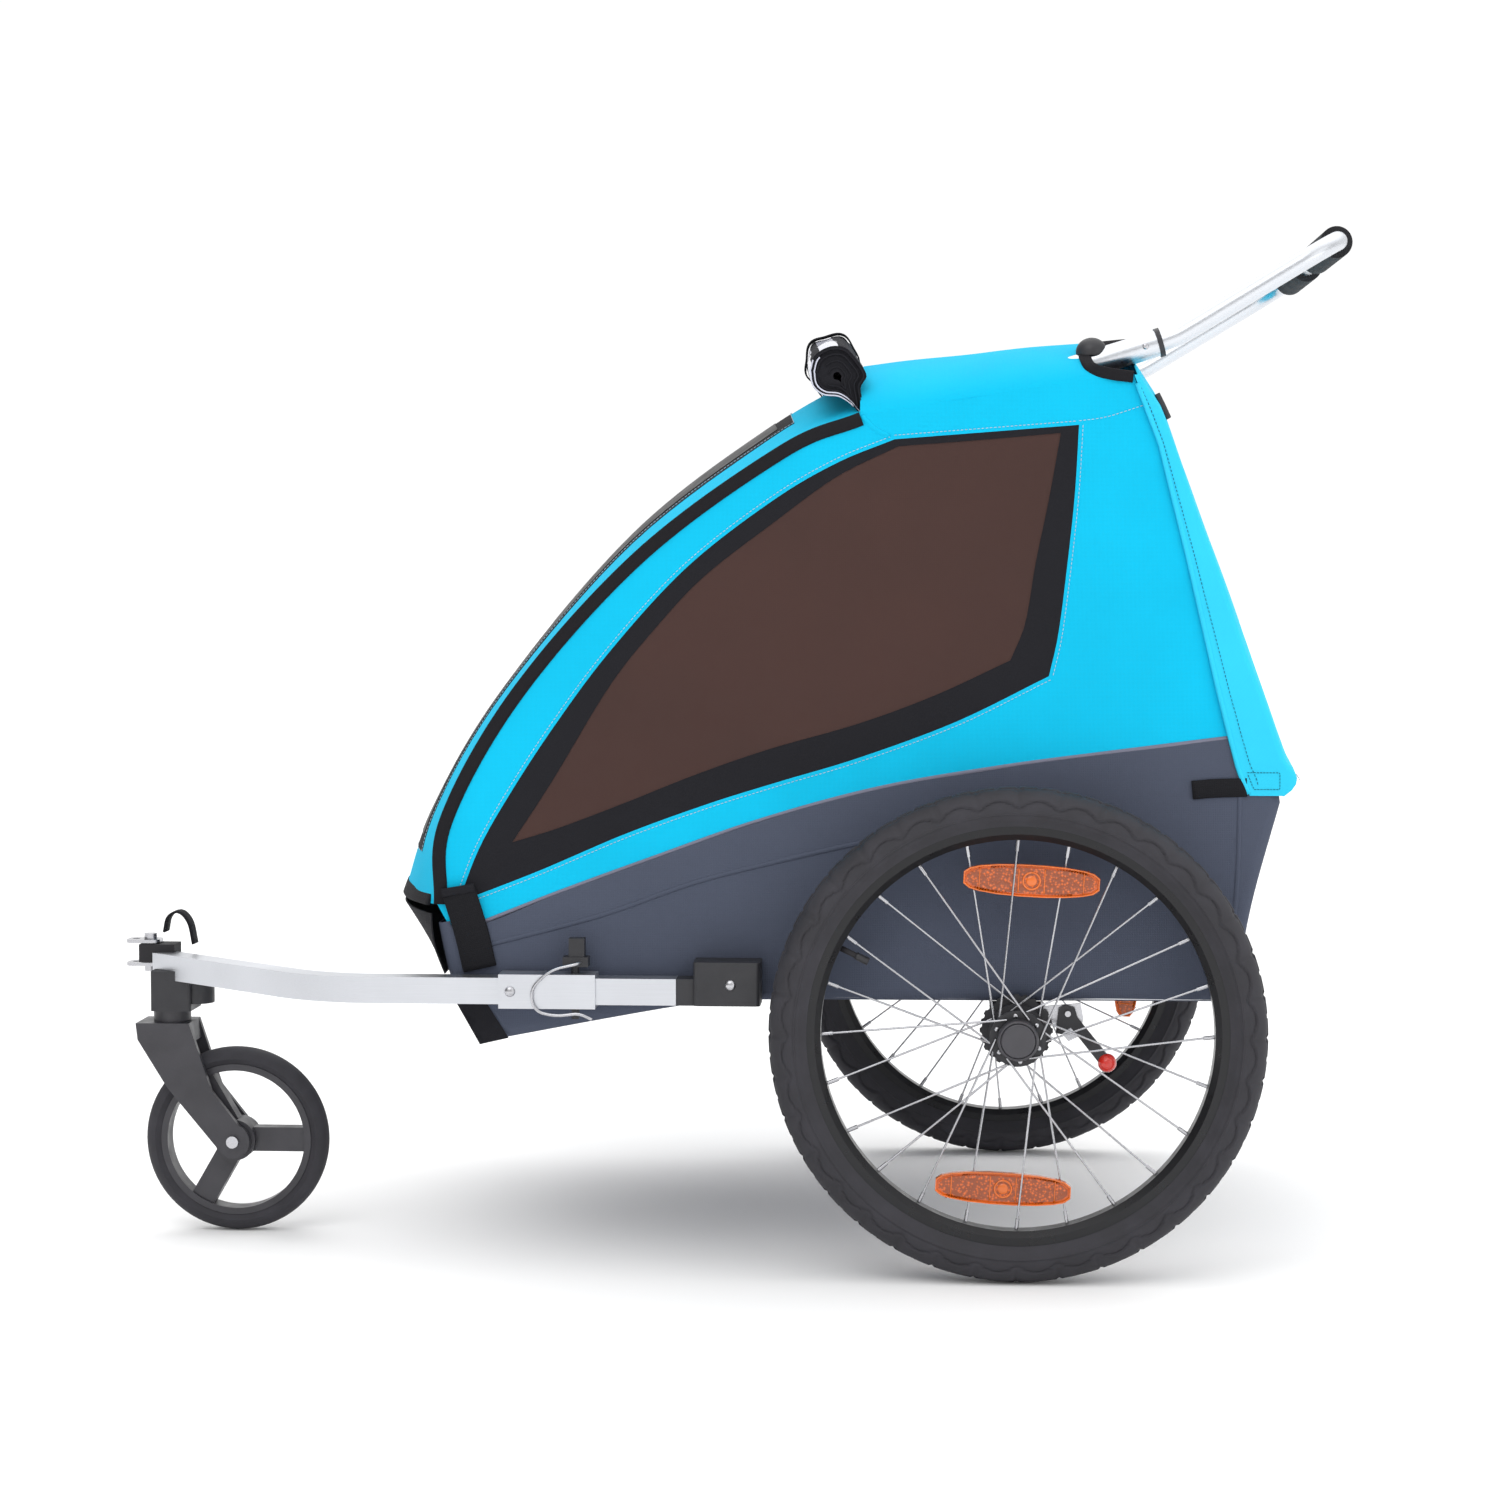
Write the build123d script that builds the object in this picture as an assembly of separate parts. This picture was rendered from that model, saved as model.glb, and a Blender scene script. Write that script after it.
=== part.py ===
from build123d import *
import os
from math import atan2, cos, degrees, pi, radians, sin, tan

# Two-seat child bicycle trailer with a swivel stroller wheel on its tow arm.
# The trailer faces -X, its left side is -Y and +Z is up. The origin is on the ground, in the middle
# of the overall length and width. Lengths are millimetres and angles degrees.

# ---- driving dimensions ----
AXLE_X = 309.0            # the two large wheels turn on Y at this X
WHEEL_R = 250.0           # 20 x 1.75 tyre
TYRE_W = 47.0
TRACK = 710.0             # between the wheel planes
RIM_R = 214.0             # outer edge of the rim hooks
RIM_INNER_R = 197.0
RIM_W = 30.0
SPOKES = 24
SPOKE_R = 1.05
FLANGE_R = 28.0
SPOKE_CIRCLE_R = 22.0
FLANGE_Y = 24.0           # flange middle, each side of the wheel plane
FLANGE_T = 4.0
BRAKE_RING_R = 38.0
BRAKE_TEETH = 24
AXLE_R = 6.0
RUNNING = 0.05            # radial clearance of a turning fit

BODY_HALF_W = 298.0       # outside of the fabric sides
SKIN = 3.0                # fabric thickness in this model
RAIL_Y = 282.0
RAIL_SIZE = 22.0
RAIL_Z = 289.0
RAIL_FRONT_X, RAIL_REAR_X = -260.0, 520.0
WALL = 2.0                # tube wall

CANOPY_Y = 258.0          # side tubes of the folding canopy hoop
BACK_Y = 230.0            # side tubes of the folding seat back
TUBE_R = 11.0
HANDLE_R = 10.0           # handlebar tube, which slides in the sleeves
BOW_R = 9.0
FRONT_PIVOT = (-247.0, 289.0)
BACK_PIVOT = (460.0, 380.0)
BACK_LENGTH = 430.0
BACK_LEAN = 8.3           # from vertical, towards the front
PIVOT_PIN_R = 5.0

SLEEVE_ANGLE = 17.0       # the handle sleeves rise towards the rear
SLEEVE_START = (350.0, 915.6)
SLEEVE_LENGTH = 105.0
SLEEVE_R = 13.5
HANDLE_BEND = 14.0        # the handlebar rises this much more after its sleeve
GRIP_BAR = (637.0, 1053.0)
GRIP_R = 16.5

ARM_SIZE = 27.0
ARM_Z = 287.5
ARM_Y = -322.0
ARM_REAR_X = -36.0
ARM_BEND_X = -400.0
ARM_TIP = (-613.0, -140.0)

CASTER_AXIS = (-600.0, -151.0)
CASTER_TRAIL = 71.0
CASTER_R = 100.0
CASTER_W = 34.0
CROWN_Z = 228.0           # top of the fork crown

LEFT, RIGHT = -1, 1
OUT = "parts"


# ---- helpers ----
def save(shape, name):
    """Writes one sub-part, a solid or a group of separate solids."""
    solids = shape.solids()
    export_step(Compound(children=list(solids)) if len(solids) > 1 else solids[0], f"{OUT}/{name}.step")


def group(shapes):
    """Separate solids as one shape."""
    return Compound(children=[s for shape in shapes for s in shape.solids()])


def side_plane(y=0.0):
    """Plane of constant Y, with local x along X and local y along Z."""
    return Plane(origin=(0, y, 0), x_dir=(1, 0, 0), z_dir=(0, -1, 0))


def slab(face, y0, y1):
    """A face drawn in X and Z, made solid from y0 to y1."""
    return extrude(side_plane(y0) * face, amount=-(y1 - y0))


def outline(points):
    return make_face(Polyline(*points, close=True))


def box(x, y, z):
    """A box from three (low, high) pairs."""
    size = [b - a for a, b in (x, y, z)]
    middle = [(a + b) / 2 for a, b in (x, y, z)]
    return Pos(*middle) * Box(*size)


def rod(start, end, r, inner_r=0.0):
    """A straight round bar or tube between two points."""
    line = Vector(*end) - Vector(*start)
    plane = Plane(origin=start, z_dir=line)
    face = Circle(r) - Circle(inner_r) if inner_r else Circle(r)
    return extrude(plane * face, amount=line.length)


def bend_radii(points, closed_turn=0.45):
    """The largest tangent arc at each inner point of a route."""
    radii = []
    for a, b, c in zip(points, points[1:], points[2:]):
        before, after = Vector(*b) - Vector(*a), Vector(*c) - Vector(*b)
        half_turn = radians(before.get_angle(after)) / 2
        radii.append(closed_turn * min(before.length, after.length) / tan(half_turn))
    return radii


def tube(points, r, wall=WALL, radii=None):
    """A bent round tube along a route of straight runs and tangent arcs."""
    path = FilletPolyline(*points, radius=radii or bend_radii(points))
    section = Circle(r) - Circle(r - wall) if wall else Circle(r)
    return sweep(Plane(origin=path @ 0, z_dir=path % 0) * section, path=path)


def on_y(shape, x, y, z):
    """Stands a shape made along Z on its side, so that its axis is Y, and places it."""
    return Pos(x, y, z) * Rot(90, 0, 0) * shape


def disc(x, y0, y1, z, r, inner_r=0.0):
    """A round plate or ring across Y."""
    return rod((x, y0, z), (x, y1, z), r, inner_r)


def pair(shape):
    """A left-hand solid and its mirror image."""
    return group([shape, mirror(shape, about=Plane.XZ)])


def lerp(a, b, t):
    return tuple(p + (q - p) * t for p, q in zip(a, b))


def crowned(edge, crown, half_w, thickness, power=2.2, curved=True):
    """A skin across the body: its side view is edge at each side and crown in the middle."""
    sections = []
    for share in (-1, -0.72, -0.36, 0.36, 0.72, 1):
        t = abs(share) ** power
        outer = [lerp(c, e, t) for e, c in zip(edge, crown)]
        inner = inset_line(outer, thickness)
        lines = [outer, inner[::-1]]
        if curved:
            top, bottom = Spline(*lines[0]), Spline(*lines[1])
        else:
            top, bottom = Polyline(*lines[0]), Polyline(*lines[1])
        wire = [top, Line(top @ 1, bottom @ 0), bottom, Line(bottom @ 1, top @ 0)]
        sections.append(side_plane(share * half_w) * make_face(wire))
    return loft(sections)


def inset_line(points, distance):
    """The same open line moved sideways, to the right of its direction."""
    moved = []
    for i, p in enumerate(points):
        a, b = points[max(i - 1, 0)], points[min(i + 1, len(points) - 1)]
        angle = atan2(b[1] - a[1], b[0] - a[0])
        moved.append((p[0] + distance * sin(angle), p[1] - distance * cos(angle)))
    return moved


# ---- large wheels ----
def wheel_parts():
    """The left wheel about the origin, its axle along Y and its outboard side at -Y."""
    tyre_profile = make_face([
        ThreePointArc((RIM_R + 0.2, 19.4), (WHEEL_R, 0), (RIM_R + 0.2, -19.4)),
        Polyline((RIM_R + 0.2, -19.4), (RIM_R + 0.2, -11.8), (206, -11.8), (206, -8.5), (216, -9), (220, -15.5)),
        ThreePointArc((220, -15.5), (WHEEL_R - 4.5, 0), (220, 15.5)),
        Polyline((220, 15.5), (216, 9), (206, 8.5), (206, 11.8), (RIM_R + 0.2, 11.8), (RIM_R + 0.2, 19.4)),
    ])
    rim_profile = outline([
        (RIM_R, -15), (RIM_R, -12), (205, -12), (205, 12), (RIM_R, 12), (RIM_R, 15),
        (203, 15), (RIM_INNER_R, 9), (RIM_INNER_R, -9), (203, -15),
    ])
    spin = Axis.Y
    parts = {
        "tyre": revolve(tyre_profile, axis=spin),
        "rim": revolve(rim_profile, axis=spin),
        "hub": hub(),
        "spokes": group([spoke(i) for i in range(SPOKES)]),
        "reflectors": group([Rot(0, turn, 0) * reflector() for turn in (5, 185)]),
    }
    return parts


def hub():
    """Hub with two spoke flanges, a bore for the axle, a recess for the release button, and on its
    inboard end the toothed disc that the parking brake's pawl drops into."""
    body = disc(0, -38, 30, 0, 18)
    for y in (-FLANGE_Y, FLANGE_Y):
        body += disc(0, y - FLANGE_T / 2, y + FLANGE_T / 2, 0, FLANGE_R)
    body += disc(0, -41, -28, 0, 20.5) + disc(0, 30, 34, 0, BRAKE_RING_R - 1)
    body -= disc(0, -42, -30, 0, 18)
    body -= disc(0, -45, 45, 0, AXLE_R + RUNNING)
    notch = disc(BRAKE_RING_R, 29, 35, 0, 3.1)
    for i in range(BRAKE_TEETH):
        body -= Rot(0, (i + 0.5) * 360 / BRAKE_TEETH, 0) * notch
    return body


def spoke(i):
    """One crossed spoke with its nipple, from a flange face to the rim."""
    side = -1 if i % 2 == 0 else 1
    hole = (i // 2) * 30 + (0 if side < 0 else 15)
    leading = (i // 2) % 2 == 0
    at_rim = hole + (60 if leading else -60)
    face_y = FLANGE_Y + 4.6 if leading else FLANGE_Y - 3.3
    start = (SPOKE_CIRCLE_R * cos(radians(hole)), side * face_y, SPOKE_CIRCLE_R * sin(radians(hole)))
    end_r = RIM_INNER_R - 0.6
    end = (end_r * cos(radians(at_rim)), side * 3, end_r * sin(radians(at_rim)))
    nipple_start = lerp(end, start, 0.06)
    return rod(start, end, SPOKE_R) + rod(nipple_start, end, 2.0)


def reflector():
    """Long reflector held between the two layers of spokes."""
    half_l, half_h, radius = 67, 16, 156
    face = outline([
        (-half_l, -6), (-half_l + 24, -half_h), (half_l - 24, -half_h),
        (half_l, -6), (half_l, 6), (half_l - 24, half_h), (-half_l + 24, half_h), (-half_l, 6),
    ])
    return slab(Pos(0, radius) * face, -3.5, 3.5)


def release_button():
    """Push button in the middle of the hub that frees the wheel from its receiver."""
    return fillet(disc(0, -45, -35.5, 0, 17.3).edges().sort_by(Axis.Y)[0], 2.5)


def make_wheels():
    place_left = Pos(AXLE_X, -TRACK / 2, WHEEL_R)
    for name, shape in wheel_parts().items():
        save(place_left * shape, f"left_{name}")
        # the wheels turn freely, and the right one rests a quarter turn from the left one
        right = place_left * Rot(0, 90, 0) * shape
        save(mirror(right, about=Plane.XZ), f"right_{name}")
    button = place_left * release_button()
    save(button, "left_release_button")
    save(mirror(button, about=Plane.XZ), "right_release_button")


# ---- base frame ----
def square_tube_x(x0, x1, y, z, size):
    outer = box((x0, x1), (y - size / 2, y + size / 2), (z - size / 2, z + size / 2))
    inner = size - 2 * WALL
    return outer - box((x0 - 1, x1 + 1), (y - inner / 2, y + inner / 2), (z - inner / 2, z + inner / 2))


def make_base_frame():
    """Side rails, cross tubes, hinge posts and the wheel receivers with their fixed axles."""
    px, pz = FRONT_PIVOT
    rail = square_tube_x(RAIL_FRONT_X, RAIL_REAR_X, -RAIL_Y, RAIL_Z, RAIL_SIZE)
    rail -= disc(px, -300, -260, pz, PIVOT_PIN_R)
    save(pair(rail), "side_rails")
    inside = RAIL_Y - RAIL_SIZE / 2
    crosses = [rod((x, -inside, RAIL_Z), (x, inside, RAIL_Z), 10, 8) for x in (-170, 300, 500)]
    save(group(crosses), "cross_tubes")

    # the seat's front bar stands on two feet on the rails
    seat_bar = rod((140, -262, 309), (140, 262, 309), 8, 6)
    for y0, y1 in ((-276, -261), (261, 276)):
        seat_bar += box((128, 152), (y0, y1), (300, 320))
    save(seat_bar, "seat_front_bar")

    bx, bz = BACK_PIVOT
    post = box((bx - 16, bx + 16), (-inside, -244), (278, 300))
    post += box((bx - 16, bx + 16), (-250, -244), (278, bz + 15))
    post -= disc(bx, -252, -242, bz, PIVOT_PIN_R)
    save(pair(post), "rear_hinge_posts")
    pins = [disc(px, -293, -245, pz, PIVOT_PIN_R), disc(bx, -254, -216, bz, PIVOT_PIN_R)]
    save(group([pair(pin) for pin in pins]), "hinge_pins")

    receiver = box((AXLE_X - 26, AXLE_X + 26), (-312, -276), (232, 273.5))
    receiver -= disc(AXLE_X, -313, -275, WHEEL_R, AXLE_R + 0.1)
    save(pair(receiver), "axle_receivers")
    save(rod((AXLE_X, -276, WHEEL_R), (AXLE_X, 276, WHEEL_R), 12.5, 10), "axle_tube")
    axle = disc(AXLE_X, -383.5, -262, WHEEL_R, AXLE_R)
    save(pair(axle), "wheel_axles")


def make_brake():
    """Plate behind the left hub, and a hand lever whose pin swings into a notch of the hub's disc."""
    px, pz = BRAKE_PIVOT
    plate_outline = [(318, 272), (374, 277), (377, 262), (374, 244), (362, 238), (345, 258), (318, 262)]
    plate = slab(outline(plate_outline), -315.5, -312.5) + disc(px, -323, -306, pz, BRAKE_STUD_R)
    save(plate, "brake_plate")
    lever = slab(outline([
        (px - 9, pz + 5), (px - 3, pz + 9), (px + 7, pz + 6), (px + 10, pz - 4), (402, 224), (395, 214),
        (px + 3, pz - 14), (px - 6, 246), (px - 12, 247),
    ]), -320.6, -316.6)
    lever -= disc(px, -325, -300, pz, BRAKE_STUD_R + RUNNING)
    lever += disc(px - 8, -325.2, -317, 250, BRAKE_PIN_R)
    save(lever, "brake_lever")
    knob = Pos(401, -319, 217) * Sphere(9.5)
    save(knob - lever, "brake_knob")


BRAKE_PIVOT = (361.0, 267.0)
BRAKE_STUD_R = 3.0
BRAKE_PIN_R = 1.9


# ---- tow arm, hitch and stroller wheel ----
def arm_route(z=ARM_Z):
    return [(ARM_REAR_X, ARM_Y, z), (ARM_BEND_X, ARM_Y, z), (*ARM_TIP, z)]


def arm_solid(size, wall):
    path = FilletPolyline(*arm_route(), radius=150)
    section = Rectangle(size, size) - Rectangle(size - 2 * wall, size - 2 * wall) if wall else Rectangle(size, size)
    start = Plane(origin=path @ 0, x_dir=(0, 1, 0), z_dir=path % 0)
    return sweep(start * section, path=path)


def make_arm():
    """Bent square tow arm, held in a sleeve by a pin and at its rear end in a plastic socket."""
    pin_x = ARM_PIN_X
    pin_hole = rod((pin_x, ARM_Y, 250), (pin_x, ARM_Y, 330), 4 + RUNNING)
    save(arm_solid(ARM_SIZE, WALL) - pin_hole, "tow_arm")
    half = ARM_SIZE / 2
    sleeve = box((-217, -118), (ARM_Y - half - 3.5, ARM_Y + half + 3), (ARM_Z - half - 4, ARM_Z + half + 4))
    sleeve -= box((-218, -117), (ARM_Y - half - 0.2, ARM_Y + half + 0.2), (ARM_Z - half - 0.2, ARM_Z + half + 0.2))
    sleeve += box((-205, -130), (ARM_Y + half + 3, -BODY_HALF_W), (ARM_Z - 9, ARM_Z + 9))
    save(sleeve - pin_hole, "arm_sleeve")
    socket = box((-18, 50), (-342, -BODY_HALF_W), (274.5, 319))
    socket = fillet(socket.edges().filter_by(Axis.Z), 5)
    socket += box((ARM_REAR_X + 0.2, -17), (ARM_Y - half, ARM_Y + half), (ARM_Z - half, ARM_Z + half))
    socket += box((ARM_REAR_X - 30, ARM_REAR_X + 1), (ARM_Y - 11, ARM_Y + 11), (ARM_Z - 11, ARM_Z + 11))
    save(socket, "arm_socket")

    pin = rod((pin_x, ARM_Y, 258), (pin_x, ARM_Y, 312), 4)
    pin += box((pin_x - 12, pin_x + 14), (ARM_Y - 9, ARM_Y + 9), (312, 322))
    pin += box((pin_x - 6, pin_x + 10), (ARM_Y - 7, ARM_Y + 7), (322, 341))
    save(pin, "arm_pin")
    wire_y = ARM_Y - half - 6.5
    bail = tube([
        (pin_x + 6, ARM_Y - 9, 317), (pin_x + 6, wire_y, 317), (pin_x - 24, wire_y, 310), (pin_x - 44, wire_y, 290), (pin_x - 40, wire_y, 268),
        (pin_x - 18, wire_y, 263), (pin_x + 6, wire_y, 266), (pin_x + 19, wire_y, 260),
    ], 1.5, wall=0)
    save(bail, "pin_bail")


ARM_PIN_X = -140.0


def make_hitch():
    """Rubber coupling block on the arm's tip and a steel clevis that turns on its bolt."""
    bolt_x, eye_x, y = HITCH_BOLT[0], HITCH_EYE[0], HITCH_BOLT[1]
    block = box((bolt_x - 9, bolt_x + 30), (y - 17, y + 14), (290, 309.5))
    block -= rod((bolt_x, y, 270), (bolt_x, y, 330), 4 + RUNNING)
    block -= arm_solid(ARM_SIZE, 0)
    save(block, "hitch_rubber_block")
    plates = []
    for z in (285.5, 310.5):
        plate = box((-654, bolt_x + 12), (y - 14, y + 14), (z, z + 3.5))
        plate = fillet(plate.edges().filter_by(Axis.Z), 8)
        plate -= rod((bolt_x, y, 270), (bolt_x, y, 330), 4)
        plate -= rod((eye_x, y, 270), (eye_x, y, 330), HITCH_EYE_R)
        plates.append(plate)
    save(group(plates), "hitch_plates")
    bolt = rod((bolt_x, y, 281), (bolt_x, y, 318), 4) + rod((bolt_x, y, 314), (bolt_x, y, 320), 7)
    bolt += rod((bolt_x, y, 279), (bolt_x, y, 285.5), 7)
    save(bolt, "hitch_bolt")
    strap_route = [(-618, y, 321.5), (-612, y, 340), (-596, y, 344), (-584, y, 330), (-580, y, 303)]
    path = FilletPolyline(*strap_route, radius=8)
    strap = sweep(Plane(origin=path @ 0, x_dir=(0, 1, 0), z_dir=path % 0) * Rectangle(24, 2), path=path)
    save(strap - arm_solid(ARM_SIZE + 0.2, 0), "safety_strap")


HITCH_BOLT = (-629.0, -128.0)
HITCH_EYE = (-645.0, -128.0)
HITCH_EYE_R = 4.0


def make_stroller_wheel():
    """Housing under the arm's tip, swivel fork with its stem, and the small wheel."""
    sx, sy = CASTER_AXIS
    stem_r = 8.0
    housing = box((sx - 18, sx + 26), (sy - 26, sy + 26), (241, 284))
    housing = fillet(housing.edges().filter_by(Axis.Z), 4)
    housing += rod((sx + 26, sy, 248), (sx + 26, sy, 276), 20)
    housing -= arm_solid(ARM_SIZE, 0)
    housing -= rod((sx, sy, 240), (sx, sy, 268), stem_r + RUNNING)
    save(housing, "stroller_wheel_housing")

    ax, az = sx + CASTER_TRAIL, CASTER_R
    leg_face = outline([
        (sx - 34, CROWN_Z), (sx + 24, CROWN_Z), (sx + 48, 155), (ax + 17, az + 4),
        (ax + 12, az - 12), (ax - 14, az - 11), (sx, 158), (sx - 32, 210),
    ]) + Pos(ax, az) * Circle(18)
    crown_face = outline([(sx - 34, CROWN_Z), (sx + 24, CROWN_Z), (sx + 27, 207), (sx - 30, 207)])
    fork = slab(leg_face, sy - 27, sy - 20) + slab(leg_face, sy + 20, sy + 27) + slab(crown_face, sy - 27, sy + 27)
    fork -= disc(ax, sy - 30, sy + 30, az, 4)
    fork += rod((sx, sy, 210), (sx, sy, 266), stem_r) + rod((sx, sy, CROWN_Z), (sx, sy, 240.5), 20)
    save(fork, "stroller_fork")
    bolt = disc(ax, sy - 29, sy + 29, az, 4) + disc(ax, sy - 31, sy - 27, az, 6.5) + disc(ax, sy + 27, sy + 31, az, 6.5)
    save(bolt, "stroller_axle_bolt")

    half = CASTER_W / 2
    tyre = revolve(make_face([
        Line((82, -11), (88, -15)), ThreePointArc((88, -15), (CASTER_R, 0), (88, 15)), Line((88, 15), (82, 11)),
        Line((82, 11), (82, -11)),
    ]), axis=Axis.Y)
    rim = disc(0, -12, 12, 0, 82, 75) + disc(0, -half, half, 0, 22)
    spoke_arm = box((18, 78), (-9, 9), (-13, 13))
    for i in range(3):
        rim += Rot(0, 120 * i, 0) * spoke_arm
    rim -= disc(0, -20, 20, 0, 4 + RUNNING)
    rim = rim & disc(0, -20, 20, 0, 82)
    place = Pos(ax, sy, az)
    save(place * tyre, "stroller_tyre")
    save(place * rim, "stroller_rim")


# ---- folding frame ----
def canopy_route(y):
    """The side tube's middle line, from the front hinge over the children's heads to the handle sleeve."""
    px, pz = FRONT_PIVOT
    x0, z0 = SLEEVE_START
    shape = [(px, pz - 9), (-262, 420), (-193, 578), (-67, 718), (84, 824), (160, z0 - (x0 - 160) * tan(radians(SLEEVE_ANGLE)))]
    shape.append((x0 + 34, z0 + 34 * tan(radians(SLEEVE_ANGLE))))
    return [(x, y, z) for x, z in shape]


def along_sleeve(distance):
    """(x, z) on the handle sleeve's middle line."""
    a = radians(SLEEVE_ANGLE)
    return SLEEVE_START[0] + distance * cos(a), SLEEVE_START[1] + distance * sin(a)


def make_canopy_frame():
    """Hoop that folds down about the front hinge: side tubes, bows, handle sleeves and latch brackets."""
    px, pz = FRONT_PIVOT
    side = tube(canopy_route(-CANOPY_Y), TUBE_R, wall=1.5)
    solid_side = tube(canopy_route(-CANOPY_Y), TUBE_R, wall=0)
    both_sides = pair(solid_side)
    side -= disc(px, -300, -240, pz, PIVOT_PIN_R + RUNNING)
    save(pair(side), "canopy_side_tubes")

    def bow(end, middle):
        arc = ThreePointArc((end[0], -CANOPY_Y, end[1]), (middle[0], 0, middle[1]), (end[0], CANOPY_Y, end[1]))
        bent = sweep(Plane(origin=arc @ 0, z_dir=arc % 0) * Circle(BOW_R), path=arc)
        return bent - both_sides

    bows = [bow((138, 846), (140, 914)), bow((-266, 385), (-338, 372))]

    x0, z0 = along_sleeve(0)
    x1, z1 = along_sleeve(SLEEVE_LENGTH)
    sleeve = rod((x0, -CANOPY_Y, z0), (x1, -CANOPY_Y, z1), SLEEVE_R, TUBE_R + 0.3)
    save(pair(sleeve), "handle_sleeves")
    x2, z2 = along_sleeve(SLEEVE_LENGTH + 5)
    collar = rod((x1, -CANOPY_Y, z1), (x2, -CANOPY_Y, z2), SLEEVE_R + 1.5, HANDLE_R + 0.3)
    save(pair(collar), "sleeve_collars")
    inside = BACK_Y - TUBE_R
    rear_arc = ThreePointArc((400, -inside, 890), (400, 0, 936), (400, inside, 890))
    bows.append(sweep(Plane(origin=rear_arc @ 0, z_dir=rear_arc % 0) * Circle(BOW_R), path=rear_arc))
    save(group(bows), "canopy_bows")
    sleeve_core = rod((x0, -CANOPY_Y, z0), (x1, -CANOPY_Y, z1), SLEEVE_R)

    # the latch bracket hangs inboard of the sleeve, and its rear wall backs the seat back's top
    ceiling = BACK_PIVOT[1] + BACK_LENGTH + 10
    bracket = box((384, 425), (-BACK_Y - TUBE_R, -inside), (ceiling, 912))
    bracket += box((411.5, 425), (-BACK_Y - TUBE_R, -inside), (796, 912))
    bracket += box((384, 425), (-262, -inside), (900, 912))
    bracket -= sleeve_core
    bracket -= bows[-1]
    knob = Pos(384, -CANOPY_Y, 938) * scale(Sphere(16), by=(1, 0.9, 0.9))
    knob -= sleeve_core
    knob = knob & box((360, 404), (-280, -240), (934, 960))
    save(group([pair(bracket), pair(knob)]), "latch_brackets")


def make_handlebar():
    """U-shaped handlebar whose legs plug into the sleeves, with two foam grips."""
    x0, z0 = along_sleeve(42)
    xb, zb = along_sleeve(SLEEVE_LENGTH + 20)
    gx, gz = GRIP_BAR
    route = [
        (x0, -CANOPY_Y, z0), (xb, -CANOPY_Y, zb), (gx, -CANOPY_Y, gz),
        (gx, CANOPY_Y, gz), (xb, CANOPY_Y, zb), (x0, CANOPY_Y, z0),
    ]
    save(tube(route, HANDLE_R, wall=1.5, radii=[90, 46, 46, 90]), "handlebar")
    grips = [rod((gx, y0, gz), (gx, y0 + 165, gz), GRIP_R, HANDLE_R) for y0 in (-207, 42)]
    save(group(grips), "handlebar_grips")


def back_point(distance, offset=0.0):
    """(x, z) up the seat back's side tube from its hinge, and offset to the front of it."""
    a = radians(BACK_LEAN)
    bx, bz = BACK_PIVOT
    return bx - distance * sin(a) - offset * cos(a), bz + distance * cos(a) - offset * sin(a)


def make_seat_back():
    """Seat back frame that folds forward about the rear hinge, with its padded back."""
    bx, bz = BACK_PIVOT
    x0, z0 = back_point(-14)
    x1, z1 = back_point(BACK_LENGTH)
    side = rod((x0, -BACK_Y, z0), (x1, -BACK_Y, z1), TUBE_R, TUBE_R - 1.5)
    side -= disc(bx, -300, -200, bz, PIVOT_PIN_R + RUNNING)
    save(pair(side), "back_side_tubes")
    inner = BACK_Y - TUBE_R
    bars = []
    for distance in (60, BACK_LENGTH - 18):
        x, z = back_point(distance)
        bars.append(rod((x, -inner, z), (x, inner, z), BOW_R, BOW_R - 1.5))
    save(group(bars), "back_cross_bars")
    corners = [back_point(d, o) for d, o in ((26, 12), (26, 32), (BACK_LENGTH - 6, 32), (BACK_LENGTH - 6, 12))]
    pad = slab(outline(corners), -212, 212)
    save(pad, "seat_back_pad")
    straps = []
    for y in (-150, -70, 70, 150):
        strip = [back_point(d, o) for d, o in ((90, 32.3), (90, 36.3), (BACK_LENGTH - 40, 36.3), (BACK_LENGTH - 40, 32.3))]
        straps.append(slab(outline(strip), y - 16, y + 16))
    save(group(straps), "shoulder_straps")


# ---- soft body ----
TUB_TOP = [
    (-286, 352), (-242, 351), (-159, 384), (-67, 418), (45, 458), (167, 492), (290, 514), (392, 528), (524, 545),
    (562, 549),
]
TUB_BOTTOM = [(576, 480), (554, 400), (543, 350), (532, 274), (45, 274), (-16, 269), (-118, 252), (-215, 231), (-242, 226), (-274, 297)]
FRONT_EDGE = [(-286, 372), (-280, 458), (-205, 591), (-77, 733), (69, 839), (149, 872)]
FRONT_CROWN = [(-358, 366), (-322, 458), (-244, 588), (-100, 758), (46, 871), (146, 930)]
ROOF_EDGE = [(149, 872), (424, 915)]
ROOF_CROWN = [(147, 934), (418, 960)]
REAR_SEAM = [(423, 912), (451, 838), (481, 722), (513, 589), (524, 547)]
WINDOW = [
    (168, 855), (369, 864), (363, 723), (346, 621), (339, 609), (239, 558), (137, 519), (45, 489), (-77, 448),
    (-159, 412), (-230, 384), (-260, 376), (-220, 456), (-159, 555), (-67, 667), (45, 774), (106, 819),
]
FLAP_EDGE = [(428, 910), (448, 881), (592, 503), (584, 486)]
FLAP_CROWN = [(426, 952), (456, 905), (606, 506), (594, 486)]


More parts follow.
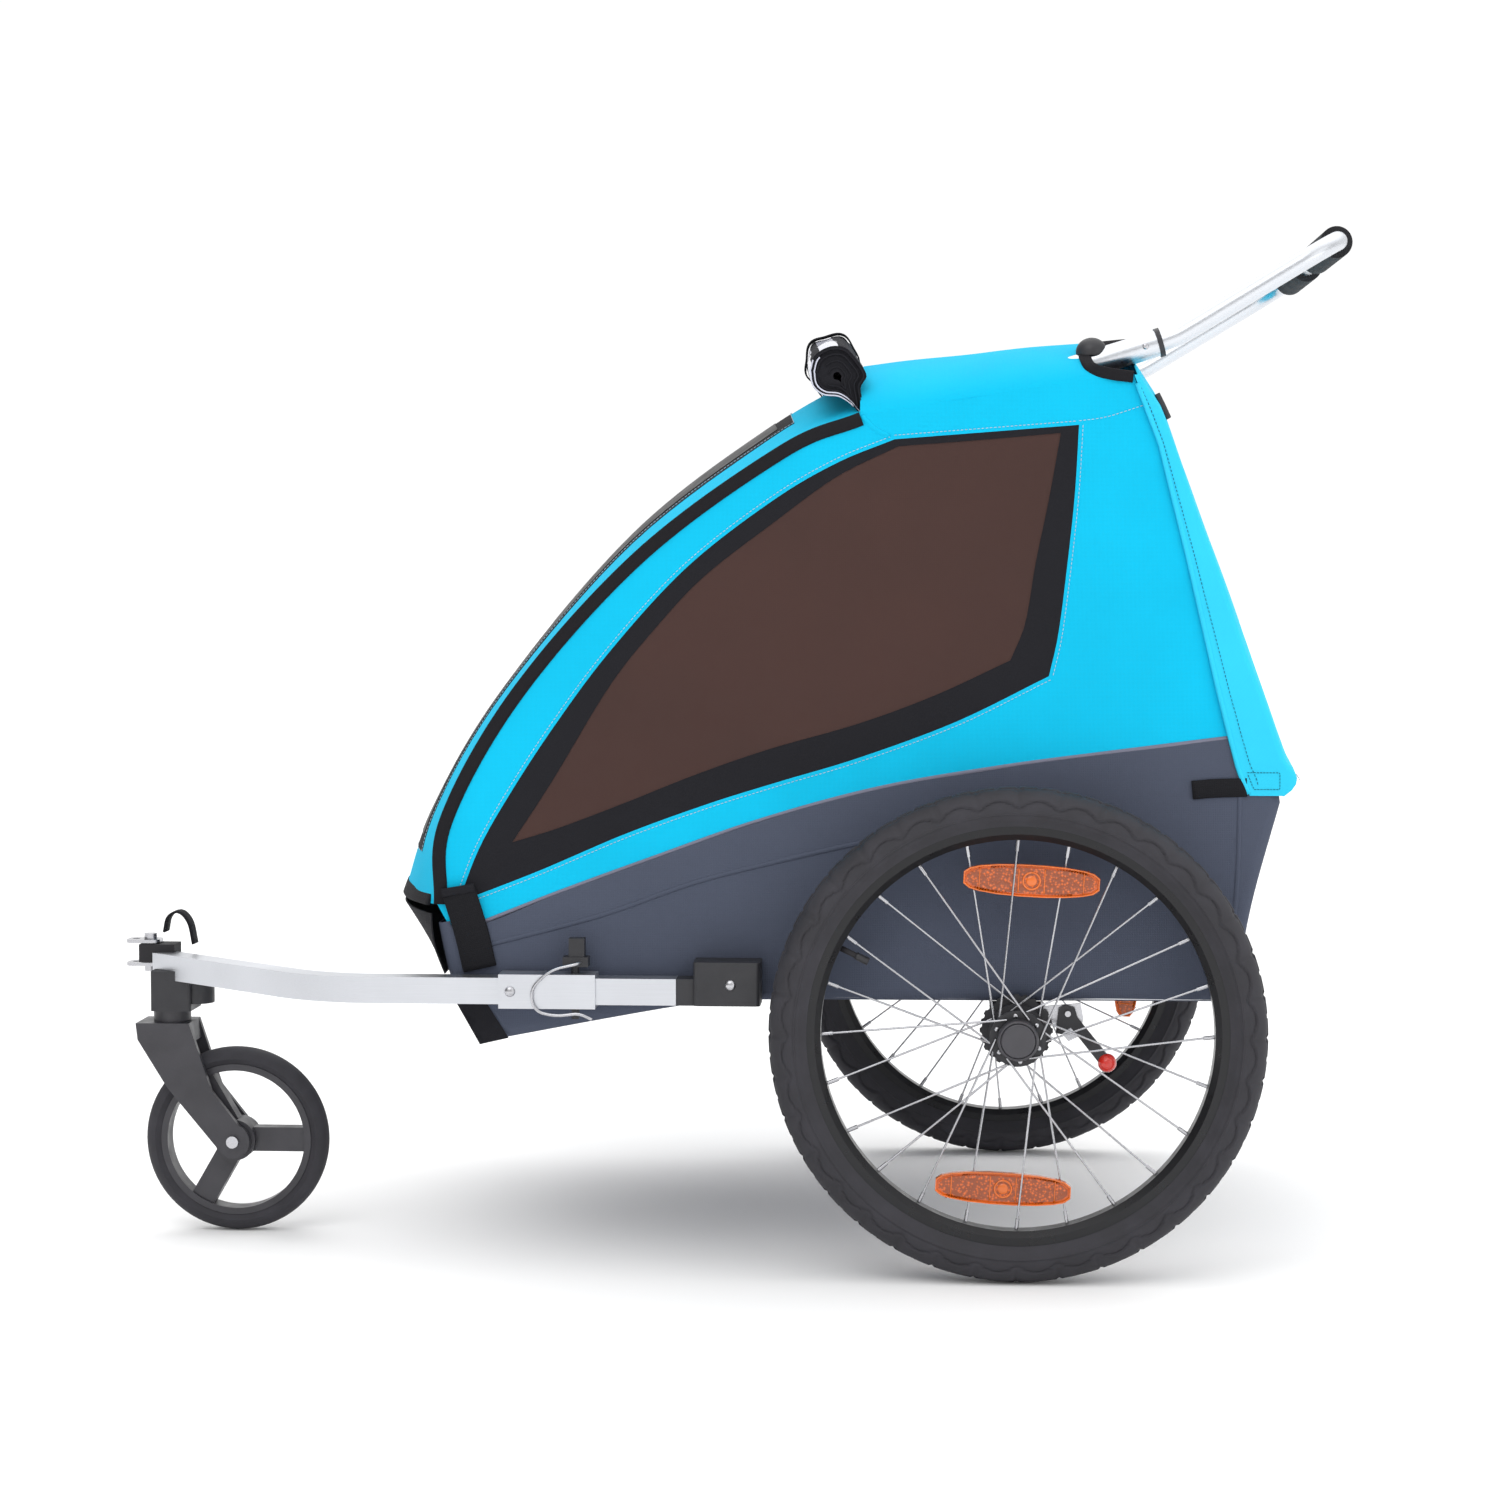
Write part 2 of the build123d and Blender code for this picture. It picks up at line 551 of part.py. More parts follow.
def make_soft_body():
    """Fabric tub, side panels with their windows, roof, front cover, rear flap and seat base."""
    w = BODY_HALF_W
    tub_face = outline(TUB_TOP + TUB_BOTTOM)
    inner = slab(offset(tub_face, amount=-SKIN), -w + SKIN, w - SKIN)
    tub = slab(tub_face, -w, w) - inner - Pos(0, 0, 8) * inner
    save(tub, "lower_tub")

    front = inset_line([(x, z) for x, z in FRONT_EDGE], 1.0)
    panel_outline = [(x, z + 0.5) for x, z in TUB_TOP[1:-1]] + REAR_SEAM[::-1][1:] + [ROOF_EDGE[0]] + front[::-1][1:]
    window_face = outline(WINDOW)
    panel = slab(outline(panel_outline) - window_face, -w, -w + SKIN)
    window = slab(offset(window_face, amount=-0.2), -w + 0.4, -w + 2.4)
    save(pair(panel), "side_panels")
    save(pair(window), "side_windows")

    roof = crowned([(x, z + 3.5) for x, z in ROOF_EDGE], [(x, z + 3) for x, z in ROOF_CROWN], w, SKIN, 3, curved=False)
    x0, z0 = along_sleeve(-60)
    x1, z1 = along_sleeve(SLEEVE_LENGTH + 40)
    roof -= pair(rod((x0, -CANOPY_Y, z0), (x1, -CANOPY_Y, z1), 24))
    save(roof, "roof_panel")

    outside = [inset_line(line, -4) for line in (FRONT_EDGE, FRONT_CROWN)]
    save(crowned(outside[0], outside[1], w, SKIN), "front_cover")
    nose_edge = [(-278, 300), (-291, 364)]
    nose_crown = [(-286, 296), (-358, 360)]
    nose = crowned(inset_line(nose_edge, -2), inset_line(nose_crown, -2), w - 1, SKIN, curved=False)
    save(nose - tub, "nose_panel")

    roll_arc = ThreePointArc((112, -236, 906), (104, 0, 946), (112, 236, 906))
    roll = sweep(Plane(origin=roll_arc @ 0, z_dir=roll_arc % 0) * Circle(26), path=roll_arc)
    roll -= crowned(inset_line(outside[0], -0.5), inset_line(outside[1], -0.5), w, 60)
    roll -= crowned([(x, z + 4.5) for x, z in ROOF_EDGE], [(x, z + 4) for x, z in ROOF_CROWN], w, 60, 2.5, curved=False)
    save(max(roll.solids(), key=lambda s: s.volume), "rolled_rain_cover")

    flap = crowned(FLAP_EDGE, FLAP_CROWN, w + 2.5, 2, curved=False)
    seam = [(426, 908), (452, 838), (482, 722), (514, 589), (533, 515), (543, 486)]
    side_return = slab(outline(inset_line(FLAP_EDGE, 1) + seam[::-1]), -w - 2.5, -w - 0.5)
    flap = flap + side_return + mirror(side_return, about=Plane.XZ)
    save(max(flap.solids(), key=lambda s: s.volume), "rear_flap")

    seat = box((120, 448), (-212, 212), (319, 338))
    seat = fillet(seat.edges().filter_by(Axis.Y), 8)
    save(seat, "seat_pad")
    buckles = [box((200, 262), (y - 14, y + 14), (338.2, 346)) for y in (-110, 110)]
    save(group(buckles), "crotch_buckles")

    strap = slab(outline([(-290, 382), (-257, 388), (-236, 302), (-274, 294)]), -w - 2.2, -w - 0.2)
    patch = slab(outline([(-264, 270), (-231, 270), (-213, 233), (-241, 227)]), -w - 1.7, -w - 0.2)
    loop = box((497, 541), (-w - 5, -w - 3), (486, 500))
    save(group([pair(strap), pair(patch), pair(loop)]), "corner_straps")


os.makedirs(OUT, exist_ok=True)
make_wheels()
make_base_frame()
make_brake()
make_arm()
make_hitch()
make_stroller_wheel()
make_canopy_frame()
make_handlebar()
make_seat_back()
make_soft_body()
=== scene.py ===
from math import atan2, cos, pi, radians, sin, tau

import bmesh
import bpy
from mathutils import Matrix, Vector, geometry, noise


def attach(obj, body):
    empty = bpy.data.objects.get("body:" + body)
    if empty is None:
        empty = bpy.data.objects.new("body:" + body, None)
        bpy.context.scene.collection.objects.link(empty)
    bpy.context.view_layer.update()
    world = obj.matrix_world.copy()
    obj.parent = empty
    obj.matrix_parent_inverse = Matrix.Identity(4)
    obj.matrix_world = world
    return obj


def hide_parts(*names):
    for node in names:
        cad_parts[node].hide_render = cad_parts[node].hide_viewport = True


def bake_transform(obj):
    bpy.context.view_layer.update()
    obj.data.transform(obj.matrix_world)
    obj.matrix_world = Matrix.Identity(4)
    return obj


# Looks of the child bicycle trailer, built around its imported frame. Outlines are written in
# millimetres, as in the CAD source, and turned into metres by point(). The trailer faces -X, its left
# side is -Y and +Z is up.

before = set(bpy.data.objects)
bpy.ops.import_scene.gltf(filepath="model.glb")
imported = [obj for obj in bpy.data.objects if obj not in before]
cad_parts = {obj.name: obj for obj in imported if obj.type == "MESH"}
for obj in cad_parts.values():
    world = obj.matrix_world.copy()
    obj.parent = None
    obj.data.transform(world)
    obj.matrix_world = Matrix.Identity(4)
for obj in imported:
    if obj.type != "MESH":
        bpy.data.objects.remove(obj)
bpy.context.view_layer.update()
MM = 0.001
LEFT, RIGHT = -1, 1

HALF_W = 298.0                     # outside of the fabric sides
AXLE = (309.0, 250.0)              # x, z of the large wheels
WHEEL_Y = 355.0
TUBE_Y = 258.0                     # side tubes of the canopy and the handle sleeves
BACK_PIVOT = (460.0, 380.0)
BACK_LEAN = 8.3

# Lines of the fabric in x and z
ROOF_EDGE = [(149, 872), (424, 915)]
ROOF_CROWN = [(147, 935), (240, 945), (330, 955), (418, 962)]
ROOF_P, ROOF_Q = 3.2, 1.7          # how square the roof's section is across and up
FRONT_EDGE = [(-286, 372), (-280, 458), (-205, 591), (-77, 733), (69, 839), (149, 872)]
FRONT_CROWN = [(-358, 366), (-322, 458), (-244, 588), (-100, 758), (46, 871), (146, 930)]
TUB_TOP = [(-286, 352), (-242, 351), (-159, 384), (-67, 418), (45, 458), (167, 492), (290, 514), (392, 528),
           (524, 545)]
REAR_SEAM = [(424, 912), (451, 838), (481, 722), (513, 589), (527, 545)]
WINDOW_TOP = [(184, 848), (277, 855), (370, 862)]
WINDOW_REAR = [(370, 862), (366, 790), (358, 712), (350, 649), (341, 608)]
WINDOW_BOTTOM = [(341, 608), (246, 561), (147, 524), (68, 500), (-5, 477), (-92, 445), (-180, 407), (-264, 374)]
WINDOW_FRONT = [(-264, 374), (-242, 430), (-210, 486), (-166, 553), (-107, 632), (-28, 718), (60, 786), (125, 824),
                (184, 848)]
FILM = [
    [(188, 841), (270, 847), (352, 854)], [(352, 854), (340, 786), (327, 722), (317, 662), (302, 624)],
    [(302, 624), (225, 588), (147, 559), (54, 532), (-20, 506), (-92, 477), (-160, 451), (-208, 436)],
    [(-208, 436), (-166, 500), (-107, 597), (-60, 656), (-10, 709), (60, 763), (125, 810), (188, 841)],
]
FLAP_SEAM = [(425, 912), (452, 842), (481, 727), (512, 594), (524, 547), (533, 513), (544, 488)]
FLAP_EDGE = [(428, 913), (451, 877), (501, 741), (553, 594), (571, 544), (579, 523), (590, 509), (592, 502),
             (587, 494), (578, 487)]
FLAP_CROWN = [(426, 955), (461, 900), (508, 772), (557, 639), (596, 530), (606, 505), (600, 494), (592, 486)]
FLAP_CORNER = 0.12                 # share of the flap's half width that lies on the side
OPENING = [(376, 943), (377, 930), (383, 919), (402, 913), (424, 910)]
OPENING_INBOARD = 234
TUB_PATH = [(-286, 352), (-280, 322), (-274, 297), (-258, 260), (-242, 228)], \
    [(-242, 228), (-215, 233), (-118, 252), (-16, 270), (45, 274), (280, 275), (512, 276)], \
    [(512, 276), (532, 284), (543, 350), (554, 400), (576, 480)], [(576, 480), (570, 520), (562, 545)]
TUB_EDGE_R = 14.0
SCREEN_U, SCREEN_Y = (0.12, 0.84), 226.0    # the front screen's border along and across the cover

# The rolled cover: section at its ends, about the roll's centre, and round in the middle
ROLL_SECTION = [(-28, 6), (-23, 21), (-8, 30), (8, 29), (20, 17), (30, 1), (24, -12), (27, -30), (28, -43),
                (15, -29), (2, -21), (-14, -19), (-25, -10)]
ROLL_END, ROLL_RISE = (125, 913), (-14, 33)
ROLL_HALF, ROLL_R = 284, 26
ROLL_COUNT = 56                    # points round the roll

# Wheels
TYRE_STEPS = [0, 4, 8, 12, 16, 17, 21, 22, 28, 34, 40, 46, 50, 53, 56, 58, 60, 62, 64, 66, 68, 70, 72, 74, 76, 78,
              80, 82, 84, 86, 88, 90, 94, 100, 101, 104, 105, 112, 120, 128]    # degrees round the section
TYRE_SECTION_R, TYRE_BEAD_R, TYRE_BEAD_Y = 228, 211, 15.6
TYRE_LUGS, STEPS_PER_LUG = 36, 14
REFLECTOR_R = 156
REFLECTOR_TOP = [(-68, 6), (-62, 10.5), (-52, 13), (-34, 15.2), (-12, 16.2), (12, 16.2), (34, 15.2), (52, 13),
                 (62, 10.5), (68, 6)]


# ---- small helpers ----
def point(x, y, z):
    """A point from millimetres."""
    return Vector((x, y, z)) * MM


def srgb(r, g, b):
    """A colour from 0 to 255 screen values, in the linear values that shaders use."""
    def linear(c):
        c /= 255
        return c / 12.92 if c <= 0.04045 else ((c + 0.055) / 1.055) ** 2.4
    return linear(r), linear(g), linear(b), 1.0


def along(points, t):
    """The point at t, from 0 to 1, on a smooth line through points that are evenly spaced in t."""
    last = len(points) - 1
    t = min(max(t, 0.0), 1.0) * last
    i = min(int(t), last - 1)
    f = t - i
    ends = [Vector(points[min(max(k, 0), last)]) for k in (i - 1, i, i + 1, i + 2)]
    a, b, c, d = ends
    if i == 0:
        a = b * 2 - c
    if i == last - 1:
        d = c * 2 - b
    return 0.5 * (2 * b + (c - a) * f + (2 * a - 5 * b + 4 * c - d) * f**2 + (3 * b - a - 3 * c + d) * f**3)


def curve(points, count):
    """count points on the smooth line through points, evenly spaced along it."""
    fine = [along(points, i / 240) for i in range(241)]
    run = [0.0]
    for a, b in zip(fine, fine[1:]):
        run.append(run[-1] + (b - a).length)
    found, k = [], 0
    for i in range(count):
        want = run[-1] * i / (count - 1)
        while k < 239 and run[k + 1] < want:
            k += 1
        step = run[k + 1] - run[k]
        found.append(fine[k].lerp(fine[k + 1], (want - run[k]) / step if step else 0))
    return found


def spaced(points, step):
    """The smooth line through points as points about step apart."""
    length = sum((Vector(b) - Vector(a)).length for a, b in zip(points, points[1:]))
    return curve(points, max(3, round(length / step) + 1))


def add_mesh(name, verts, faces, material, uvs=None, smooth=True):
    """A new object from vertices in metres. uvs, in metres, holds one pair per vertex."""
    mesh = bpy.data.meshes.new(name)
    mesh.from_pydata([tuple(v) for v in verts], [], faces)
    if uvs:
        layer = mesh.uv_layers.new(name="UVMap")
        for loop in mesh.loops:
            layer.data[loop.index].uv = uvs[loop.vertex_index]
    mesh.materials.append(material)
    for face in mesh.polygons:
        face.use_smooth = smooth
    mesh.update()
    made = bpy.data.objects.new(name, mesh)
    bpy.context.scene.collection.objects.link(made)
    return made


def add_grid(name, rows, material, close=False):
    """A surface through rows of points. close joins each row's end to its start."""
    across, down = len(rows[0]), len(rows)
    verts = [p for row in rows for p in row]
    uvs, v = [], 0.0
    for i, row in enumerate(rows):
        if i:
            v += (Vector(row[across // 2]) - Vector(rows[i - 1][across // 2])).length
        u = 0.0
        for j, p in enumerate(row):
            if j:
                u += (Vector(p) - Vector(row[j - 1])).length
            uvs.append((u, v))
    span = across if close else across - 1
    faces = []
    for i in range(down - 1):
        for j in range(span):
            k = (j + 1) % across
            faces.append((i * across + j, i * across + k, (i + 1) * across + k, (i + 1) * across + j))
    return add_mesh(name, verts, faces, material, uvs)


def region(boundary, step, holes=()):
    """Triangles that fill an outline in x and z: (points, faces). Inner points lie on a grid of step."""
    def inside(p, loop):
        hit = False
        for a, b in zip(loop, loop[1:] + loop[:1]):
            if (a[1] > p[1]) != (b[1] > p[1]) and p[0] < (b[0] - a[0]) * (p[1] - a[1]) / (b[1] - a[1]) + a[0]:
                hit = not hit
        return hit

    def clear(p, loops, gap):
        return all((Vector(p) - Vector(q)).length > gap for loop in loops for q in loop)

    loops = [list(boundary), *[list(h) for h in holes]]
    points, edges = [], []
    for loop in loops:
        first = len(points)
        points += [Vector(p) for p in loop]
        edges += [(first + i, first + (i + 1) % len(loop)) for i in range(len(loop))]
    xs, zs = [p[0] for p in boundary], [p[1] for p in boundary]
    row, z = 0, min(zs)
    while z < max(zs):
        x = min(xs) + (step / 2 if row % 2 else 0)
        while x < max(xs):
            p = (x, z)
            if inside(p, loops[0]) and not any(inside(p, h) for h in loops[1:]) and clear(p, loops, step * 0.55):
                points.append(Vector(p))
            x += step
        z += step * 0.866
        row += 1
    found = geometry.delaunay_2d_cdt(points, edges, [], 0, 1e-4)
    flat, tris = found[0], found[2]
    kept = []
    for tri in tris:
        middle = sum((flat[i] for i in tri), Vector((0, 0))) / 3
        if inside(middle, loops[0]) and not any(inside(middle, h) for h in loops[1:]):
            kept.append(tuple(tri))
    return flat, kept


def solidify(obj, thickness, offset=-1.0):
    """Gives a sheet its thickness, in millimetres. offset -1 grows it to the back of its faces."""
    made = obj.modifiers.new("thickness", "SOLIDIFY")
    made.thickness = thickness * MM
    made.offset = offset
    made.use_even_offset = False
    crisp = obj.modifiers.new("crisp", "EDGE_SPLIT")
    crisp.split_angle = radians(50)
    return obj


def bevel(obj, width, segments=3, angle=35):
    """Rounds edges sharper than angle degrees by width millimetres."""
    made = obj.modifiers.new("edges", "BEVEL")
    made.width = width * MM
    made.segments = segments
    made.limit_method = "ANGLE"
    made.angle_limit = radians(angle)
    made.harden_normals = True
    for face in obj.data.polygons:
        face.use_smooth = True
    return obj


def sweep(name, path, material, profile, normals, close=False):
    """A profile of (across, out) pairs in millimetres, carried along a path in metres. normals give the
    direction of out at each point of the path."""
    rows, count = [], len(path)
    for i, p in enumerate(path):
        before = path[(i - 1) % count] if close else path[max(i - 1, 0)]
        after = path[(i + 1) % count] if close else path[min(i + 1, count - 1)]
        tangent = (Vector(after) - Vector(before)).normalized()
        out = Vector(normals[i])
        side = tangent.cross(out).normalized()
        out = side.cross(tangent).normalized()
        rows.append([Vector(p) + side * (a * MM) + out * (b * MM) for a, b in profile])
    if close:
        rows.append([q.copy() for q in rows[0]])
    made = add_grid(name, rows, material, close=True)
    if not close:
        caps = bmesh.new()
        caps.from_mesh(made.data)
        caps.verts.ensure_lookup_table()
        n = len(profile)
        caps.faces.new([caps.verts[i] for i in range(n)][::-1])
        caps.faces.new([caps.verts[(count - 1) * n + i] for i in range(n)])
        caps.normal_update()
        caps.to_mesh(made.data)
        caps.free()
    return made


def tape(width, thickness, round_over=0.45):
    """Profile of a flat webbing or binding with rounded edges."""
    w, t = width / 2, thickness
    r = t * round_over
    return [(-w, 0), (-w, t - r), (-w + r, t), (-w / 3, t * 1.06), (w / 3, t * 1.06), (w - r, t), (w, t - r), (w, 0)]


def round_profile(r, count=12):
    """Profile of a round cord, piping or stem."""
    return [(r * cos(tau * i / count), r * sin(tau * i / count)) for i in range(count)]


def join(name, objects):
    """Several objects as one, with the first one's place in the scene."""
    bpy.ops.object.select_all(action="DESELECT")
    for o in objects:
        o.select_set(True)
    bpy.context.view_layer.objects.active = objects[0]
    bpy.ops.object.join()
    objects[0].name = name
    return objects[0]


def stitches(name, path, normals, material, pitch=4.2, stitch=2.8, r=0.35, lift=0.35):
    """A row of thread stitches along a path: short capsules, one mesh."""
    verts, faces = [], []
    run, runs = 0.0, [0.0]
    for a, b in zip(path, path[1:]):
        run += (Vector(b) - Vector(a)).length
        runs.append(run)

    def at(s):
        k = 0
        while k < len(runs) - 2 and runs[k + 1] < s:
            k += 1
        f = (s - runs[k]) / max(runs[k + 1] - runs[k], 1e-9)
        return Vector(path[k]).lerp(Vector(path[k + 1]), f), Vector(normals[k]).lerp(Vector(normals[k + 1]), f)

    for i in range(int(run / (pitch * MM))):
        s0 = i * pitch * MM
        (a, n), (b, _) = at(s0), at(s0 + stitch * MM)
        t = (b - a).normalized()
        n = n.normalized()
        side = t.cross(n).normalized()
        first = len(verts)
        for share, size in ((0.0, 0.45), (0.18, 1.0), (0.82, 1.0), (1.0, 0.45)):
            c = a.lerp(b, share) + n * lift * MM
            for q in range(6):
                verts.append(c + (side * cos(tau * q / 6) + n * sin(tau * q / 6) * 0.8) * r * size * MM)
        for ring in range(3):
            for q in range(6):
                k = (q + 1) % 6
                low = first + ring * 6
                faces.append((low + q, low + k, low + 6 + k, low + 6 + q))
        faces.append(tuple(first + q for q in range(5, -1, -1)))
        faces.append(tuple(first + 18 + q for q in range(6)))
    return add_mesh(name, verts, faces, material)


def mirrored(obj, name):
    """A copy of a piece on the other side of the trailer."""
    mesh = obj.data.copy()
    mesh.transform(Matrix.Scale(-1, 4, (0, 1, 0)))
    mesh.flip_normals()
    made = bpy.data.objects.new(name, mesh)
    bpy.context.scene.collection.objects.link(made)
    for m in obj.modifiers:
        copy = made.modifiers.new(m.name, m.type)
        for key in [p.identifier for p in m.bl_rna.properties if not p.is_readonly]:
            setattr(copy, key, getattr(m, key))
    return made


# ---- materials ----
BAND_SCALE = 314.16                # scale of a wave texture whose bands are 1 mm apart


class Shader:
    """A material being built from nodes."""

    def __init__(self, name):
        self.material = bpy.data.materials.new(name)
        self.material.use_nodes = True
        self.tree = self.material.node_tree
        self.surface = self.tree.nodes["Principled BSDF"]
        self.where = self.tree.nodes.new("ShaderNodeTexCoord")

    def node(self, kind, **values):
        made = self.tree.nodes.new("ShaderNode" + kind)
        for key, value in values.items():
            if hasattr(made, key):
                setattr(made, key, value)
            else:
                made.inputs[key.replace("_", " ")].default_value = value
        return made

    def link(self, a, b):
        self.tree.links.new(a, b)

    def set(self, **values):
        for key, value in values.items():
            self.surface.inputs[key.replace("_", " ")].default_value = value
        return self

    def noise(self, scale, detail=3.0, stretch=None):
        made = self.node("TexNoise", Scale=scale, Detail=detail)
        source = self.where.outputs["Object"]
        if stretch:
            mapping = self.node("Mapping")
            mapping.inputs["Scale"].default_value = stretch
            self.link(source, mapping.inputs["Vector"])
            source = mapping.outputs["Vector"]
        self.link(source, made.inputs["Vector"])
        return made.outputs["Fac"]

    def ramp(self, source, low, high, start=0.0, end=1.0):
        """Colours or greys from low to high as source goes from start to end."""
        made = self.node("ValToRGB")
        made.color_ramp.elements[0].position, made.color_ramp.elements[1].position = start, end
        for element, value in zip(made.color_ramp.elements, (low, high)):
            element.color = value if hasattr(value, "__len__") else (value, value, value, 1)
        self.link(source, made.inputs["Fac"])
        return made.outputs["Color"]

    def math(self, operation, a, b):
        made = self.node("Math", operation=operation)
        for socket, value in zip(made.inputs, (a, b)):
            if isinstance(value, (int, float)):
                socket.default_value = value
            else:
                self.link(value, socket)
        return made.outputs["Value"]

    def bump(self, height, strength, distance, under=None):
        made = self.node("Bump", Strength=strength, Distance=distance)
        self.link(height, made.inputs["Height"])
        if under:
            self.link(under, made.inputs["Normal"])
        return made.outputs["Normal"]

    def finish(self, color=None, roughness=None, normal=None):
        for source, name in ((color, "Base Color"), (roughness, "Roughness"), (normal, "Normal")):
            if source is not None:
                self.link(source, self.surface.inputs[name])
        return self.material


def shade(color, factor):
    """The colour made lighter or darker by factor."""
    return tuple(min(1.0, c * factor) for c in color[:3]) + (1.0,)


def threads(s, scale, **uneven):
    """Crossing bands along both directions of the cloth's UV map."""
    bands = []
    for direction in ("X", "Y"):
        wave = s.node("TexWave", wave_type="BANDS", bands_direction=direction, Scale=scale, **uneven)
        s.link(s.where.outputs["UV"], wave.inputs["Vector"])
        bands.append(wave.outputs["Fac"])
    return s.math("MAXIMUM", *bands)


def fabric(name, color, thread=1.3, depth=0.35, rough=0.82, vary=0.08, sheen=0.12, wrinkle=0.3):
    """Woven, coated cloth: crossing threads, faint dye variation and soft creases."""
    s = Shader(name)
    weave = threads(s, BAND_SCALE / thread, Distortion=0.6, Detail=1.0)
    cloudy = s.noise(7.0, 4.0)
    fine = s.noise(900.0, 2.0)
    tone = s.ramp(s.math("ADD", s.math("MULTIPLY", cloudy, 0.75), s.math("MULTIPLY", fine, 0.25)),
                  shade(color, 1 - vary), shade(color, 1 + vary * 0.6), 0.3, 0.7)
    mix = s.node("Mix", data_type="RGBA", blend_type="MULTIPLY")
    mix.inputs["Factor"].default_value = 0.16
    s.link(tone, mix.inputs["A"])
    s.link(weave, mix.inputs["B"])
    roughness = s.ramp(fine, rough - 0.08, rough + 0.08, 0.3, 0.7)
    creases = s.bump(s.noise(14.0, 3.0, stretch=(1.0, 1.0, 0.45)), wrinkle, 0.004)
    normal = s.bump(weave, depth, 0.0003, creases)
    s.set(Sheen_Weight=sheen, Sheen_Roughness=0.45, Specular_IOR_Level=0.2)
    s.surface.inputs["Sheen Tint"].default_value = shade(color, 1.6)
    return s.finish(mix.outputs["Result"], roughness, normal)


def plastic(name, color, rough=0.5, grain=420.0, depth=0.12, vary=0.12, coat=0.0):
    """Moulded plastic with a fine grain and slight handling marks."""
    s = Shader(name)
    marks = s.noise(26.0, 5.0)
    tone = s.ramp(marks, shade(color, 1 - vary), shade(color, 1 + vary), 0.35, 0.7)
    roughness = s.ramp(s.noise(60.0, 4.0), max(rough - 0.1, 0.05), rough + 0.1, 0.3, 0.7)
    cells = s.node("TexVoronoi", Scale=grain)
    s.link(s.where.outputs["Object"], cells.inputs["Vector"])
    normal = s.bump(cells.outputs["Distance"], depth, 0.0003)
    s.set(Coat_Weight=coat, Coat_Roughness=0.15)
    return s.finish(tone, roughness, normal)


def metal(name, color, rough=0.32, stretch=(1.0, 60.0, 60.0), depth=0.02, metallic=1.0):
    """Brushed or drawn metal: fine lines along one axis and light smudges."""
    s = Shader(name)
    lines = s.noise(18.0, 6.0, stretch=stretch)
    smudge = s.noise(9.0, 3.0)
    tone = s.ramp(s.math("ADD", s.math("MULTIPLY", lines, 0.5), s.math("MULTIPLY", smudge, 0.5)),
                  shade(color, 0.9), shade(color, 1.04), 0.3, 0.7)
    roughness = s.ramp(lines, rough - 0.04, rough + 0.06, 0.3, 0.7)
    normal = s.bump(lines, depth, 0.0002)
    s.set(Metallic=metallic, Anisotropic=0.3)
    return s.finish(tone, roughness, normal)


def rubber(name, color, rough=0.7, grain=260.0, depth=0.2):
    """Moulded rubber with dust in its low places."""
    s = Shader(name)
    dust = s.noise(34.0, 6.0)
    tone = s.ramp(dust, shade(color, 0.85), shade(color, 1.3), 0.4, 0.75)
    roughness = s.ramp(dust, rough - 0.08, rough + 0.1, 0.3, 0.7)
    normal = s.bump(s.noise(grain, 3.0), depth, 0.0004)
    s.set(Specular_IOR_Level=0.35)
    return s.finish(tone, roughness, normal)


def tinted_film(name, color):
    """Flexible tinted window film, slightly uneven, laid over a fine mesh."""
    s = Shader(name)
    tone = s.ramp(s.noise(5.0, 3.0), shade(color, 0.9), shade(color, 1.1), 0.3, 0.7)
    waves = s.bump(s.noise(9.0, 2.0), 0.25, 0.006)
    normal = s.bump(threads(s, 150.0), 0.12, 0.0003, waves)
    roughness = s.ramp(s.noise(40.0, 3.0), 0.42, 0.55, 0.3, 0.7)
    s.set(Specular_IOR_Level=0.35, Alpha=0.96)
    return s.finish(tone, roughness, normal)


def reflector_plastic_with_painted_glow(name, color):
    """Amber reflector: clear face over rows of small prisms, with a painted glow and painted glints and shade in its
    prism cells.
    """
    s = Shader(name)
    cells = s.node("TexVoronoi", Scale=330.0)
    cells.distance = "MANHATTAN"
    s.link(s.where.outputs["Object"], cells.inputs["Vector"])
    # painted glint and shade: each prism cell is lighter in its middle and darker at its edges; the cells themselves
    # follow the real prism rows
    tone = s.ramp(cells.outputs["Distance"], shade(color, 1.5), shade(color, 0.35), 0.1, 0.75)
    normal = s.bump(cells.outputs["Distance"], 0.5, 0.0008)
    s.set(Roughness=0.18, Coat_Weight=0.7, Coat_Roughness=0.06)
    # painted glow: the emission makes the reflector shine as if lit, though it is no lamp
    s.surface.inputs["Emission Strength"].default_value = 0.25
    s.surface.inputs["Emission Color"].default_value = shade(color, 0.8)
    return s.finish(tone, None, normal)


BLUE = fabric("woven_blue", srgb(0, 188, 229), sheen=0.05)
LIGHT_BLUE = fabric("woven_light_blue", srgb(48, 202, 238), vary=0.05, sheen=0.05)
TUB_GREY = fabric("woven_grey", srgb(76, 82, 98), thread=1.8, depth=0.5)
BLACK_CLOTH = fabric("woven_black", srgb(28, 28, 33), thread=1.1, depth=0.4)
WEBBING = fabric("webbing_black", srgb(24, 24, 28), thread=2.2, depth=0.9, wrinkle=0.0)
BINDING = fabric("binding_black", srgb(26, 25, 29), thread=1.0, depth=0.5, wrinkle=0.0)
PIPING = fabric("piping_grey", srgb(122, 122, 138), thread=1.0, depth=0.4, wrinkle=0.0)
PAD_GREY = fabric("pad_grey", srgb(82, 86, 96), thread=1.5, depth=0.45)
PAD_BLACK = fabric("pad_black", srgb(44, 45, 52), thread=1.5, depth=0.45)
THREAD = fabric("thread_white", srgb(196, 216, 226), thread=0.4, depth=0.2, wrinkle=0.0)
